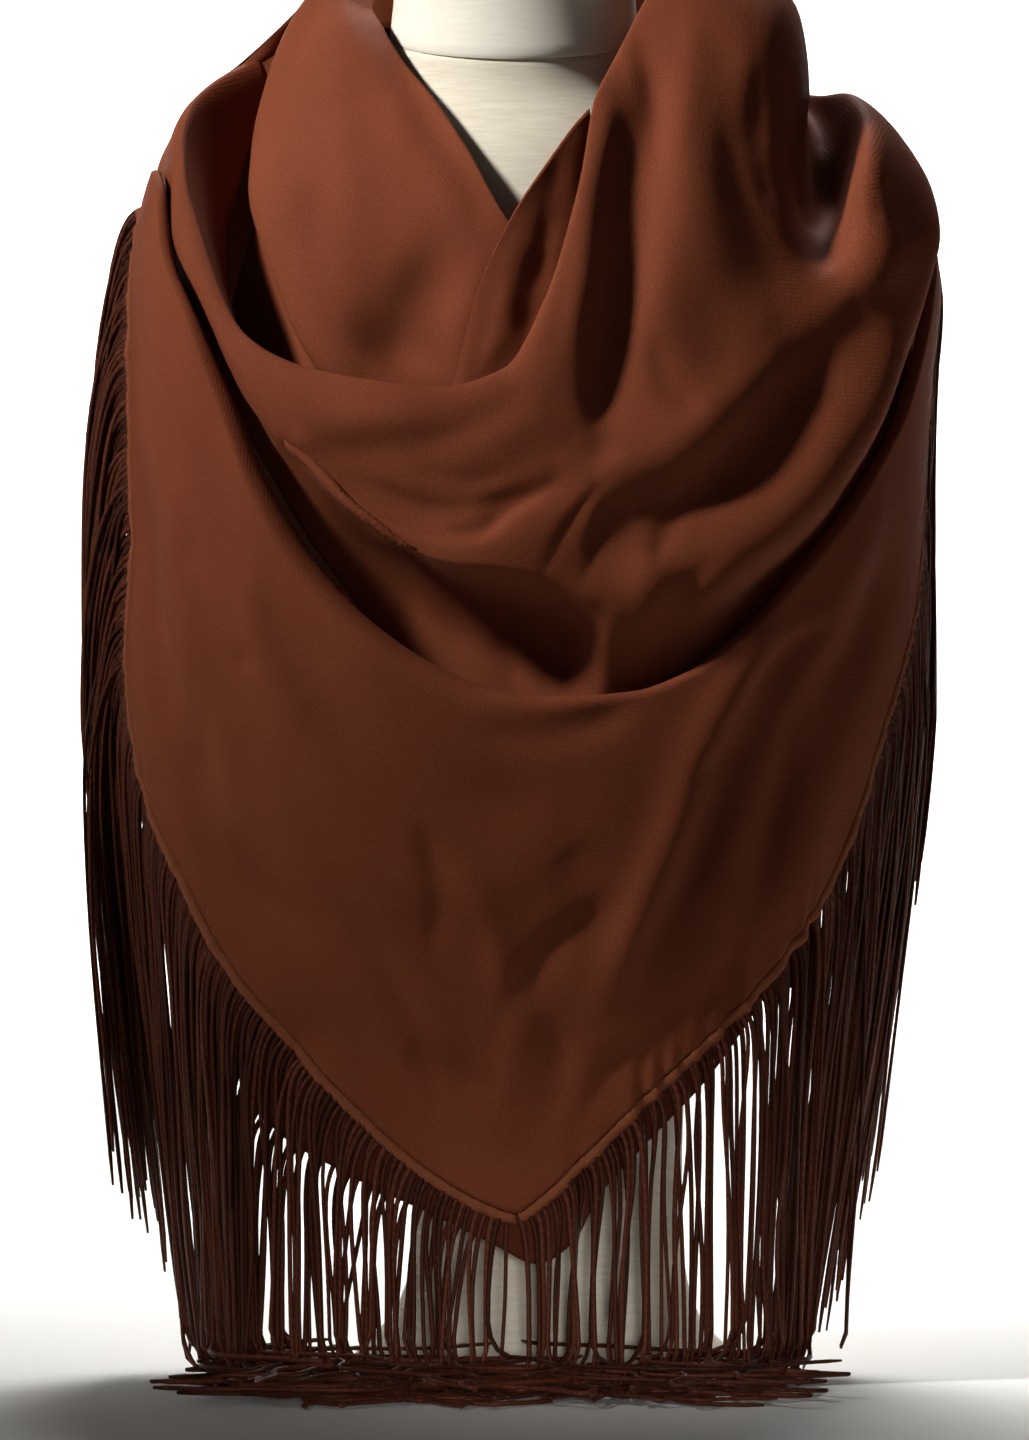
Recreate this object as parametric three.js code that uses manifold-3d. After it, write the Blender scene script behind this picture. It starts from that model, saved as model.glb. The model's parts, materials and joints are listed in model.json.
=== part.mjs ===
// Fringed square scarf, folded to a triangle and worn point down on a limbless linen dress form.
// Millimetres, +Z up, the front faces -Y, the form stands on Z = 0.
// Every cloth wall is a loft of profiles in vertical half planes at angle phi round the Z axis:
// phi 0 is the front, +90 the wearer's left shoulder (+X), 180 the back.
import * as THREE from "three";
import { mergeVertices } from "three/addons/utils/BufferGeometryUtils.js";
import Module from "manifold-3d";

// ---------------------------------------------------------------- driving sizes, mm
const CLOTH = 2; // thickness of a doubled layer of satin
const PARTING = 0.3; // gap between pieces that are sewn together
const HEM_PARTING = 0.45; // the same along the hem, which follows the cloth's edge in chords
const HEM_WIDE = 4.4; // rolled hem, along the cloth
const HEM_THICK = 3.4; // rolled hem, across the cloth
const BACKING = 2.8; // side of the strip that a fringe is tied to
const STRAND = 1.15; // corner radius of a three-sided strand
const FRINGE = 300; // free length of a strand
const FLOOR_CLEAR = 3; // height of a strand's axis where it lies over the floor
const ENDS = 99.7; // angle at which the front and the back stretches meet

const SLUB = 0xd9cbb0, CREAM = 0xe8dfc8, BROWN = 0x6b3320, DARK = 0x4a2115;

// ---------------------------------------------------------------- tables
// The form: half width, reach to the front and to the back, and how far it stands to the side, at each height.
const FORM = table("z width front back shift", [
  [0, 97, 80, 80, 15], [7, 96, 79, 79, 15], [15, 88, 72, 72, 15], [30, 76, 62, 62, 16],
  [56, 69, 57, 57, 17], [92, 67, 55, 55, 18], [135, 70, 57, 57, 16], [185, 86, 68, 66, 12],
  [240, 110, 84, 80, 8], [300, 122, 90, 82, 5], [360, 134, 98, 88, 2], [430, 146, 106, 94, 0],
  [500, 150, 104, 96, 0], [545, 145, 98, 92, 0], [576, 135, 92, 86, 0], [596, 126, 86, 80, 0],
  [613, 108, 80, 74, 0], [629, 90, 73, 68, 0], [645, 76, 67, 64, 0], [659, 67, 63, 62, 0],
  [673, 64, 62, 62, 0],
]);
const NECK = table("z radius", [[673, 63.6], [697, 61], [722, 60], [745, 58.5], [753, 54], [757, 44]]);
const NECK_TILT = 0.22; // the neck seam drops towards the front

// The outside of the hanging cloth: reach to each side, to the front and to the back.
const DRAPE = table("z left right front back", [
  [40, 184, 182, 140, 100], [140, 192, 190, 146, 102], [240, 199, 198, 152, 104],
  [344, 200, 207, 156, 108], [440, 197, 209, 158, 114], [500, 195, 212, 156, 118],
  [545, 195, 216, 148, 120], [575, 192, 213, 136, 118], [602, 186, 203, 118, 112],
  [618, 178, 194, 106, 104], [633, 168, 180, 98, 98], [650, 154, 160, 92, 92],
]);
const SQUARENESS = 2.2; // exponent of the drape's rounded plan

// The hem's height round the body: its point is at the front, its highest run over the shoulder.
const HEM = table("phi z", [
  [-92, 592], [-90, 583], [-88, 562], [-86, 528], [-84, 486], [-81, 412], [-78, 350], [-74, 319],
  [-69, 284], [-61, 249], [-48, 196], [-32.7, 147], [-16, 107], [-4, 90], [0, 87], [4, 93],
  [12, 112], [23.5, 142], [40, 186], [51.5, 225], [62.5, 289], [66.2, 322], [72.7, 362], [78, 392],
  [81, 422], [84, 470], [86, 504], [88, 534], [90, 552], [92, 562],
]);

// The front fall's own upper rim: height, radius of its roll, drop of the tail inside it.
const FRONT_RIM = table("phi z roll tail", [
  [-92, 608, 3, 26], [-86, 607, 3, 38], [-79, 600, 3, 42], [-69, 560, 3.5, 34], [-61, 530, 4, 28],
  [-53, 488, 6, 26], [-46, 446, 8, 26], [-37, 406, 10, 28], [-27, 377, 11, 30], [-15, 356, 12, 30],
  [-3, 344, 10, 28], [8, 341, 7, 26], [22, 344, 4.5, 24], [31, 353, 4, 22], [41, 376, 4, 20],
  [52, 410, 4, 20], [64, 453, 4, 24], [71, 480, 3.5, 34], [77, 514, 3.5, 44], [81, 546, 3, 48],
  [86, 568, 3, 40], [92, 582, 3, 30],
]);

// The cowl: radius and height of its crest, face, dip, ridge, bulge, low point and end,
// with the tuck and drop of the tail behind the crest.
const COWL = table("phi tuck drop crest crestZ face faceZ dip dipZ ridge ridgeZ bulge bulgeZ low lowZ end endZ", [
  [-99.7, -6, 12, 132, 664, 142, 662, 154, 653, 166, 641, 178, 625, 184.5, 612, 187, 600],
  [-92, -14, 36, 150, 653, 158, 649, 165, 641, 171, 631, 176, 620, 178, 608, 177, 597],
  [-86, -21, 48, 163, 640, 168, 636, 172, 629, 175, 620, 176.5, 610, 176.5, 598, 176, 586],
  [-79, -22, 50, 170, 619, 174, 615, 176, 607, 176.5, 598, 176.5, 588, 176, 576, 175, 562],
  [-70, -20, 46, 172, 588, 177, 584, 180, 577, 181, 568, 180, 558, 178, 545, 175, 530],
  [-61, -16, 34, 172, 554, 177, 552, 179, 545, 179, 538, 176, 528, 172, 512, 167, 492],
  [-52, -13, 30, 172, 522, 176, 517, 178, 509, 175, 498, 168, 484, 160, 464, 152, 440],
  [-40, -12, 28, 165, 504, 172, 496, 173, 478, 173, 464, 167, 448, 148, 420, 138, 392],
  [-28, -12, 28, 158, 497, 166, 482, 163, 452, 168, 438, 166, 420, 138, 388, 128, 352],
  [-14, -12, 28, 151, 493, 159, 475, 156, 438, 161, 424, 160, 404, 132, 372, 122, 338],
  [-2, -11, 28, 147, 502, 156, 480, 155, 442, 161, 428, 161, 400, 132, 364, 123, 330],
  [6, -8, 28, 140, 536, 153, 496, 156, 448, 161, 428, 161, 394, 138, 358, 127, 325],
  [14, 0, 30, 125, 585, 147, 526, 158, 460, 163, 424, 162, 384, 145, 354, 135, 322],
  [24, 8, 28, 99, 637, 135, 575, 157, 490, 167, 436, 168, 388, 152, 357, 143, 326],
  [36, 10, 28, 86, 660, 128, 606, 156, 520, 172, 460, 179, 406, 163, 376, 153, 348],
  [50, 6, 30, 82, 686, 128, 634, 160, 545, 184, 486, 193, 434, 176, 408, 166, 380],
  [62, -4, 32, 88, 706, 134, 664, 163, 572, 190, 536, 207, 482, 189, 446, 185, 418],
  [72, -10, 34, 92, 714, 138, 682, 162, 580, 186, 606, 213, 536, 196, 484, 193, 456],
  [80, -12, 36, 95, 717, 140, 690, 160, 590, 180, 630, 218, 566, 203, 536, 202, 506],
  [87, -13, 37, 95, 718, 141, 693, 156, 618, 173, 642, 212, 596, 203, 569, 201, 550],
  [92, -13, 37, 95, 718, 140, 693, 154, 630, 168, 647, 206, 604, 202, 585, 201, 570],
  [96, -13, 37, 94, 718, 138, 694, 152, 636, 164, 648, 200, 610, 204, 588, 205, 573],
  [99.7, -13, 37, 94, 718, 136, 694, 150, 640, 160, 648, 196, 612, 204, 592, 207, 575],
]);

// The stretch round the nape and over the upper back, with the same columns.
const BACK = table("phi tuck drop crest crestZ face faceZ dip dipZ ridge ridgeZ bulge bulgeZ low lowZ end endZ", [
  [100, -13, 37, 94, 718, 136, 694, 150, 640, 160, 648, 196, 612, 204, 592, 207, 575],
  [122, -12, 36, 90, 720, 116, 700, 126, 656, 138, 650, 172, 592, 180, 562, 180, 535],
  [150, -12, 36, 88, 722, 104, 702, 109, 666, 114, 656, 138, 592, 141, 548, 140, 512],
  [180, -12, 36, 88, 724, 101, 704, 106, 670, 110, 660, 126, 598, 128, 545, 127, 494],
  [210, -12, 36, 88, 722, 103, 702, 108, 667, 114, 657, 136, 594, 141, 552, 140, 516],
  [240, -12, 34, 88, 716, 108, 698, 118, 670, 128, 661, 160, 616, 173, 580, 179, 548],
  [253, -13, 33, 87, 713, 108, 695, 120, 670, 134, 662, 167, 630, 182, 603, 188, 578],
  [260, -13, 32, 86, 712, 108, 694, 122, 671, 138, 663, 168, 639, 184, 612, 187, 600],
]);

// The two stretches that cross at the V: fold edge, crown behind it, middle and tucked end.
const UNDER = table("phi edge edgeZ crown crownZ mid midZ fold foldZ hollow hollowZ end endZ", [
  [-99.7, 72, 694, 86, 713, 106, 696, 122, 664, 120, 650, 121, 642],
  [-90, 72, 690, 86, 710, 108, 692, 126, 650, 122, 638, 130, 604],
  [-76, 72, 684, 90, 690, 118, 652, 137, 614, 132, 602, 145, 567],
  [-68, 72, 679, 91, 680, 121, 638, 144, 592, 137, 578, 149.5, 539],
  [-60, 73, 672, 92, 668, 124, 622, 148, 572, 141, 556, 151, 518],
  [-45, 77, 658, 96, 642, 130, 582, 149, 517, 142, 502, 144, 482],
  [-30, 85, 642, 104, 614, 128, 547, 138, 486, 137, 475, 137, 462],
  [-15, 99, 616, 111, 588, 122, 522, 127, 482, 127.5, 472, 128, 460],
  [0, 113, 572, 117, 548, 121, 506, 123, 482, 123, 471, 123, 460],
  [14, 116, 542, 118, 520, 120, 494, 121, 480, 121, 470, 121, 460],
]);
const OVER = table("phi edge edgeZ crown crownZ mid midZ end endZ", [
  [-13.5, 130, 494, 131, 484, 132, 474, 132, 462], [-8, 127, 542, 129, 520, 130, 492, 130, 460],
  [0, 120, 580, 124, 558, 128, 512, 129, 460], [8, 108, 603, 116, 577, 124, 532, 128, 460],
  [18, 95, 624, 104, 598, 116, 554, 124, 468], [27, 87, 636, 95, 608, 107, 568, 116, 486],
]);

// The second layer of the folded square, where it shows under the front hem.
const SECOND = table("phi top bottom inset", [
  [-69, 350, 262, 6], [-60, 320, 190, 7], [-51, 290, 130, 8], [-34, 230, 104, 8], [-16, 190, 84, 8],
  [-4, 170, 70, 8], [4.8, 165, 61, 8], [13, 175, 73, 8], [17, 185, 92, 8], [26, 220, 118, 8],
  [38, 255, 152, 7], [49, 290, 196, 6],
]);

// Large folds: three points in the front view, half width and lift. A trough has a negative lift.
const FOLDS = table("x0 z0 x1 z1 x2 z2 wide lift", [
  [-183, 396, -177, 366, -172, 336, 7, -4], // beside the left hem, high
  [-159, 318, -156, 262, -100, 212, 10, -5], // beside the left hem, low
  [120, 366, 84, 280, 44, 190, 8, 3.2], // the long fold down the front
  [134, 352, 97, 272, 58, 186, 9, -3.4], // its shaded side
  [150, 330, 134, 272, 122, 226, 9, 2.4], // the short fold beside it
  [-104, 462, -38, 418, 16, 440, 8, -5], // crease across the cowl
  [205, 557, 122, 447, 34, 408, 13, -8], // the long trough from the shoulder
  [56, 636, 66, 560, 60, 474, 11, -6], // the upright trough beside the V
  [150, 556, 104, 480, 66, 420, 13, 4], // the ridge over the long trough
]);

// Fringe headings: where along the hem, how many strands, how far the longest run over the floor.
const FRINGES = table("name from to count reach more run", [
  ["fringe_side_left", -91.7, -78.4, 22, 9, 18, 0], ["fringe_front_left", -77.6, -0.4, 47, 3, 3, 100],
  ["fringe_front_right", 0.4, 77.6, 45, 3, 3, 100], ["fringe_side_right", 78.4, 91.7, 17, 4, 9, 0],
  ["fringe_back", 92.8, 267.2, 50, 3, 3, 0],
]);
const HEMS = { left: [-91.8, -0.2], right: [0.2, 91.8], back: [92.5, 267.5] };

// Angles of the profiles. The hem and the fringe headings use those of the cloth above them.
const FRONT_STATIONS = [
  -92, -90, -88, -86, -84, -81, -77, -73, ...spread(-68, -61, 1), ...spread(-54, 54, 16),
  61, 67, 72, 77, 81, 84, 86, 88, 90, 92,
];
const COWL_STATIONS = [
  -99.7, -96, -92.2, ...spread(-88, -61, 6), ...spread(-55, 29, 14), ...spread(36, 86, 9), 92.2, 96, 99.7,
];
const BACK_STATIONS = spread(100, 260, 16);
const HEM_STATIONS = [
  ...FRONT_STATIONS.slice(1, -1), 96, 99.85, ...BACK_STATIONS.slice(1, -1), 260.15, 264,
  ...Object.values(HEMS).flat(), ...FRINGES.flatMap((f) => [f.from, f.to]),
].sort((a, b) => a - b);

// ---------------------------------------------------------------- small tools
function spread(from, to, count) {
  return Array.from({ length: count + 1 }, (_, i) => from + ((to - from) * i) / count);
}

function table(names, rows) {
  const keys = names.split(" ");
  return rows.map((row) => Object.fromEntries(keys.map((key, i) => [key, row[i]])));
}

/** A column of a table at x, by a cubic that never overshoots its rows. */
function at(rows, by, column, x) {
  const n = rows.length;
  if (x <= rows[0][by]) return rows[0][column];
  if (x >= rows[n - 1][by]) return rows[n - 1][column];
  let i = 0;
  while (x > rows[i + 1][by]) i++;
  const step = (j) => rows[j + 1][by] - rows[j][by];
  const rise = (j) => (rows[j + 1][column] - rows[j][column]) / step(j);
  const slope = (j) => {
    if (j === 0 || j === n - 1) return rise(j === 0 ? 0 : n - 2);
    const a = rise(j - 1), b = rise(j);
    if (a * b <= 0) return 0;
    const wa = 2 * step(j) + step(j - 1), wb = step(j) + 2 * step(j - 1);
    return (wa + wb) / (wa / a + wb / b);
  };
  const h = step(i), t = (x - rows[i][by]) / h, u = 1 - t;
  return rows[i][column] * (1 + 2 * t) * u * u + slope(i) * h * t * u * u
    + rows[i + 1][column] * t * t * (3 - 2 * t) - slope(i + 1) * h * t * t * u;
}

const rad = (deg) => (deg * Math.PI) / 180;
const polar = (phi, r, z) => new THREE.Vector3(r * Math.sin(rad(phi)), -r * Math.cos(rad(phi)), z);

/** Radius of the hanging cloth's outside. */
function drape(phi, z) {
  const s = Math.sin(rad(phi)), c = Math.cos(rad(phi));
  const side = at(DRAPE, "z", s < 0 ? "left" : "right", z);
  const deep = at(DRAPE, "z", c > 0 ? "front" : "back", z);
  return (Math.abs(s / side) ** SQUARENESS + Math.abs(c / deep) ** SQUARENESS) ** (-1 / SQUARENESS);
}

/** A point of the drape under a point of the front view. */
function onFront(x, z) {
  const side = at(DRAPE, "z", x < 0 ? "left" : "right", z), deep = at(DRAPE, "z", "front", z);
  const left = Math.max(0, 1 - Math.min(1, Math.abs(x / side)) ** SQUARENESS);
  return new THREE.Vector3(x, -deep * left ** (1 / SQUARENESS), z);
}

const FOLD_LINES = FOLDS.map((f) => ({
  wide: f.wide, lift: f.lift,
  points: Array.from({ length: 13 }, (_, i) => {
    const t = i / 12, u = 1 - t;
    return onFront(u * u * f.x0 + 2 * u * t * f.x1 + t * t * f.x2, u * u * f.z0 + 2 * u * t * f.z1 + t * t * f.z2);
  }),
}));

/** How far the large folds move the cloth out at a point. */
function folded(p) {
  let out = 0;
  for (const { wide, lift, points } of FOLD_LINES) {
    let best = 1e9, where = 0;
    points.forEach((q, i) => {
      const d = p.distanceToSquared(q);
      if (d < best) [best, where] = [d, i];
    });
    const fade = Math.sin((Math.PI * (where + 1)) / (points.length + 1)) ** 0.6;
    out += lift * fade * Math.exp(-best / (2 * wide * wide));
  }
  return out;
}

/** Points spread evenly from segment to segment of a smooth curve through named points. */
function profile(points, per) {
  const curve = new THREE.CatmullRomCurve3(points, false, "centripetal");
  const out = [], n = points.length - 1;
  for (let i = 0; i < n; i++)
    for (let j = 0; j < per[i]; j++) out.push(curve.getPoint((i + j / per[i]) / n));
  out.push(curve.getPoint(1));
  return out;
}

/** A closed mesh from a list of points and faces. */
function geometry(points, faces) {
  const g = new THREE.BufferGeometry();
  g.setAttribute("position", new THREE.Float32BufferAttribute(points.flatMap((p) => [p.x, p.y, p.z]), 3));
  g.setIndex(faces.flat());
  return g;
}

/** A cloth wall: rows of points of its outer face, thickened inwards along their normals. */
function wall(rows, thick = CLOTH) {
  const nu = rows.length, nv = rows[0].length, outer = rows.flat(), inner = [];
  for (let i = 0; i < nu; i++)
    for (let j = 0; j < nv; j++) {
      const a = rows[Math.min(i + 1, nu - 1)][j].clone().sub(rows[Math.max(i - 1, 0)][j]);
      const b = rows[i][Math.min(j + 1, nv - 1)].clone().sub(rows[i][Math.max(j - 1, 0)]);
      const normal = a.cross(b);
      if (i === 0 || i === nu - 1) {
        const round = new THREE.Vector3(-rows[i][j].y, rows[i][j].x, 0).normalize();
        normal.addScaledVector(round, -normal.dot(round));
      }
      inner.push(rows[i][j].clone().addScaledVector(normal.normalize(), -thick));
    }
  const faces = [], o = (i, j) => i * nv + j, n = (i, j) => nu * nv + i * nv + j;
  const quad = (a, b, c, d) => faces.push([a, b, c], [a, c, d]);
  for (let i = 0; i < nu - 1; i++)
    for (let j = 0; j < nv - 1; j++) {
      quad(o(i, j), o(i + 1, j), o(i + 1, j + 1), o(i, j + 1));
      quad(n(i, j), n(i, j + 1), n(i + 1, j + 1), n(i + 1, j));
    }
  for (let i = 0; i < nu - 1; i++) {
    quad(o(i, 0), n(i, 0), n(i + 1, 0), o(i + 1, 0));
    quad(o(i, nv - 1), o(i + 1, nv - 1), n(i + 1, nv - 1), n(i, nv - 1));
  }
  for (let j = 0; j < nv - 1; j++) {
    quad(o(0, j), o(0, j + 1), n(0, j + 1), n(0, j));
    quad(o(nu - 1, j), n(nu - 1, j), n(nu - 1, j + 1), o(nu - 1, j + 1));
  }
  return geometry([...outer, ...inner], faces);
}

/** A closed solid through rings of equal count, with flat ends. */
function rings(list) {
  const n = list[0].length, points = list.flat(), faces = [];
  for (let k = 0; k < list.length - 1; k++)
    for (let i = 0; i < n; i++) {
      const a = k * n + i, b = k * n + ((i + 1) % n);
      faces.push([a, b, b + n], [a, b + n, a + n]);
    }
  const last = (list.length - 1) * n;
  for (let i = 1; i < n - 1; i++) faces.push([0, i + 1, i], [last, last + i, last + i + 1]);
  return geometry(points, faces);
}


// ---------------------------------------------------------------- the form
function ring(count, z, width, front, back, tilt = 0, shift = 0) {
  return Array.from({ length: count }, (_, i) => {
    const a = (2 * Math.PI * i) / count, c = Math.cos(a), s = Math.sin(a);
    const y = s * (s < 0 ? front : back);
    return new THREE.Vector3(c * width + shift, y, z + tilt * y);
  });
}
const bust = () => rings(FORM.map((f) => {
  const tilt = NECK_TILT * THREE.MathUtils.smoothstep(f.z, 613, 673);
  return ring(24, f.z, f.width, f.front, f.back, tilt, f.shift);
}));
const cap = () => rings(NECK.map((f, i) => {
  const tilt = NECK_TILT * (1 - THREE.MathUtils.smoothstep(f.z, 697, 753));
  return ring(24, f.z + (i === 0 ? PARTING * 1.05 : 0), f.radius, f.radius, f.radius, tilt);
}));

// ---------------------------------------------------------------- the stretches of cloth
const flat = (r, z) => new THREE.Vector3(r, 0, z);
const bent = (phi, q, fold = 0) => {
  const p = polar(phi, q.x, q.z);
  return fold ? polar(phi, q.x + fold * folded(p), q.z) : p;
};

/** The cowl and the back stretch: a tail, the crest and down the face to the end. */
function draped(rows, phi, per) {
  const v = (name) => at(rows, "phi", name, phi);
  const pairs = ["crest", "face", "dip", "ridge", "bulge", "low", "end"].map((k) => flat(v(k), v(`${k}Z`)));
  const points = [flat(v("crest") + v("tuck"), v("crestZ") - v("drop")), ...pairs];
  return profile(points.reverse(), per).map((q) => bent(phi, q, 1));
}
const DRAPED = [1, 2, 2, 2, 2, 2, 2];

/** A stretch that crosses at the V: from its tucked end up to the fold edge. */
function crossing(rows, phi) {
  const v = (name) => at(rows, "phi", name, phi);
  const names = ["end", "hollow", "fold", "mid", "crown", "edge"].filter((k) => k in rows[0]);
  const points = names.map((k) => flat(v(k), v(`${k}Z`)));
  return profile(points, names.length > 4 ? [1, 1, 2, 2, 3] : [2, 2, 3]).map((q) => bent(phi, q));
}

/** The hem line at an angle, or the cloth a little above it: on the front fall, the cowl's side or the back. */
function hemAt(phi, above = 0) {
  if (phi <= 92) {
    const z = at(HEM, "phi", "z", phi) + above;
    return bent(phi, flat(drape(phi, z), z), 1);
  }
  const side = phi < 99.85 || phi > 260.15, rows = side ? COWL : BACK, t = above / 30;
  const turn = phi > 260.15 ? phi - 360 : phi;
  const v = (name) => at(rows, "phi", `end${name}`, turn) * (1 - t) + at(rows, "phi", `low${name}`, turn) * t;
  return polar(phi, v(""), v("Z"));
}

/** The front fall: from the hem up the drape, over its rolled rim and down inside. */
function frontFall(phi, rows = 7) {
  const v = (name) => at(FRONT_RIM, "phi", name, phi);
  const hem = at(HEM, "phi", "z", phi), roll = v("roll"), top = v("z") - roll, out = [];
  for (const z of spread(hem, top, rows)) out.push(bent(phi, flat(drape(phi, z), z), 1));
  const edge = drape(phi, top) + folded(polar(phi, drape(phi, top), top));
  for (const a of [45, 90, 135, 180])
    out.push(polar(phi, edge - roll * (1 - Math.cos(rad(a))), top + roll * Math.sin(rad(a))));
  out.push(polar(phi, edge - 2 * roll, top - v("tail")));
  return out;
}

/** The second layer, inside the front fall. */
const second = (phi) => spread(at(SECOND, "phi", "bottom", phi), at(SECOND, "phi", "top", phi), 3)
  .map((z) => polar(phi, drape(phi, z) - at(SECOND, "phi", "inset", phi), z));


// ---------------------------------------------------------------- hem and fringe
/** Axes of the hem at an angle: along it, out of the cloth, and down away from the cloth. */
function hemFrame(phi) {
  const p = hemAt(phi), d = 0.4, low = phi <= 92 ? [-92, 92] : [92.01, 267.9];
  const a = hemAt(Math.max(low[0], phi - d)), b = hemAt(Math.min(low[1], phi + d));
  const along = b.sub(a).normalize(), out = along.clone().cross(hemAt(phi, 4).sub(p)).normalize();
  return { p, along, out, down: along.clone().cross(out) };
}

/** A strip of four corners along the hem, its middle down from the hem line and in from the face. */
function strip(from, to, down, wide, thick) {
  return HEM_STATIONS.filter((phi) => phi >= from && phi <= to).map((phi) => {
    const f = hemFrame(phi), mid = f.p.clone().addScaledVector(f.down, down).addScaledVector(f.out, -CLOTH / 2);
    const corners = [[1, 1], [1, -1], [-1, -1], [-1, 1]];
    return corners.map(([a, b]) => mid.clone().addScaledVector(f.down, (a * wide) / 2).addScaledVector(f.out, (b * thick) / 2));
  });
}
const HEM_DOWN = HEM_PARTING + HEM_WIDE / 2, BACKING_DOWN = 2 * HEM_PARTING + HEM_WIDE + BACKING / 2;
const hem = (from, to) => rings(strip(from, to, HEM_DOWN, HEM_WIDE, HEM_THICK));

/** A three-sided strand through points. */
function strand(points, side) {
  return rings(points.map((p, i) => {
    const t = points[Math.min(i + 1, points.length - 1)].clone().sub(points[Math.max(i - 1, 0)]).normalize();
    const u = side.clone().addScaledVector(t, -t.dot(side)).normalize(), w = t.clone().cross(u);
    return [0, 1, 2].map((k) => {
      const a = rad(120 * k);
      return p.clone().addScaledVector(u, STRAND * Math.cos(a)).addScaledVector(w, STRAND * Math.sin(a));
    });
  }));
}

/** The course of one strand: out of its strip, over, down, and along the floor if it's long enough. */
function course(phi, index, { reach, more, run }) {
  const f = hemFrame(phi), away = polar(phi, 1, 0), layer = index % 2;
  const root = f.p.clone().addScaledVector(f.down, BACKING_DOWN).addScaledVector(f.out, -CLOTH / 2);
  const lean = f.down.clone().setZ(0), out = reach + (more * ((index * 3) % 5)) / 4;
  const knee = root.clone().addScaledVector(lean, 7).addScaledVector(away, out * 0.8);
  knee.z -= 4 + 0.3 * out;
  const length = FRINGE - 12 * ((index * 7) % 5) / 4;
  const drop = knee.clone().addScaledVector(lean, 2).addScaledVector(away, out * 0.2).setZ(knee.z - 14 - out);
  const end = root.z - length, points = [root, knee, drop];
  if (end > FLOOR_CLEAR) return [...points, drop.clone().setZ(end)];
  const over = Math.min(run, FLOOR_CLEAR - end) * (0.72 + 0.07 * ((index * 3) % 5));
  const foot = drop.clone().addScaledVector(away, 4).setZ(FLOOR_CLEAR);
  return [...points, drop.clone().setZ(9 + 4 * layer), foot, foot.clone().addScaledVector(away, Math.max(5, over))];
}

// ---------------------------------------------------------------- the part
const wasm = await Module();
wasm.setup();

function manifold(g) {
  const m = mergeVertices(g, 1e-5);
  return new wasm.Manifold(new wasm.Mesh({
    numProp: 3, vertProperties: new Float32Array(m.attributes.position.array), triVerts: new Uint32Array(m.index.array),
  }));
}

function fringe(spec) {
  const { from, to, count } = spec, step = (to - from) / count;
  const heading = manifold(rings(strip(from, to, BACKING_DOWN, BACKING, BACKING)));
  const strands = spread(from + 0.3 * step, to - 0.3 * step, count - 1)
    .map((phi, i) => manifold(strand(course(phi, i, spec), hemFrame(phi).along)));
  const mesh = wasm.Manifold.union([heading, ...strands]).getMesh();
  const g = new THREE.BufferGeometry();
  g.setAttribute("position", new THREE.BufferAttribute(new Float32Array(mesh.vertProperties), 3));
  g.setIndex(new THREE.BufferAttribute(new Uint32Array(mesh.triVerts), 1));
  return g;
}

const part = new THREE.Group();
function add(name, g, color, roughness) {
  const mesh = new THREE.Mesh(g, new THREE.MeshStandardMaterial({ color, roughness }));
  mesh.name = name;
  part.add(mesh);
}

add("dress_form", bust(), SLUB, 0.9);
add("neck_cap", cap(), CREAM, 0.4);
add("collar_under", wall(spread(-99.7, 14, 16).map((phi) => crossing(UNDER, phi))), BROWN, 0.45);
add("collar_over", wall(spread(-13.5, 25, 8).map((phi) => crossing(OVER, phi))), BROWN, 0.45);
add("cowl", wall(COWL_STATIONS.map((phi) => draped(COWL, phi, DRAPED))), BROWN, 0.45);
add("front_fall", wall(FRONT_STATIONS.map((phi) => frontFall(phi))), BROWN, 0.45);
add("under_layer", wall(spread(-66, 48, 18).map(second), 1.2), DARK, 0.45);
add("back_fall", wall(BACK_STATIONS.map((phi) => draped(BACK, phi, DRAPED))), BROWN, 0.45);
add("hem_left", hem(...HEMS.left), BROWN, 0.45);
add("hem_right", hem(...HEMS.right), BROWN, 0.45);
add("hem_back", hem(...HEMS.back), BROWN, 0.45);
for (const f of FRINGES) add(f.name, fringe(f), DARK, 0.5);

// The origin is the middle of the whole part's foot print.
const middle = new THREE.Box3().setFromObject(part).getCenter(new THREE.Vector3());
for (const mesh of part.children) mesh.geometry.translate(-middle.x, -middle.y, 0);

export default part;
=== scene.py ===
"""A fringed satin square, folded to a triangle and wrapped point down round a limbless linen form.

The pieces are worked out in millimetres, with +Z up, the front towards -Y and the wearer's left at +X.
phi is the angle round the upright axis of the neck: 0 at the front, 90 at the wearer's left, 180 at the back.
"""

import functools
import json
import math

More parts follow.
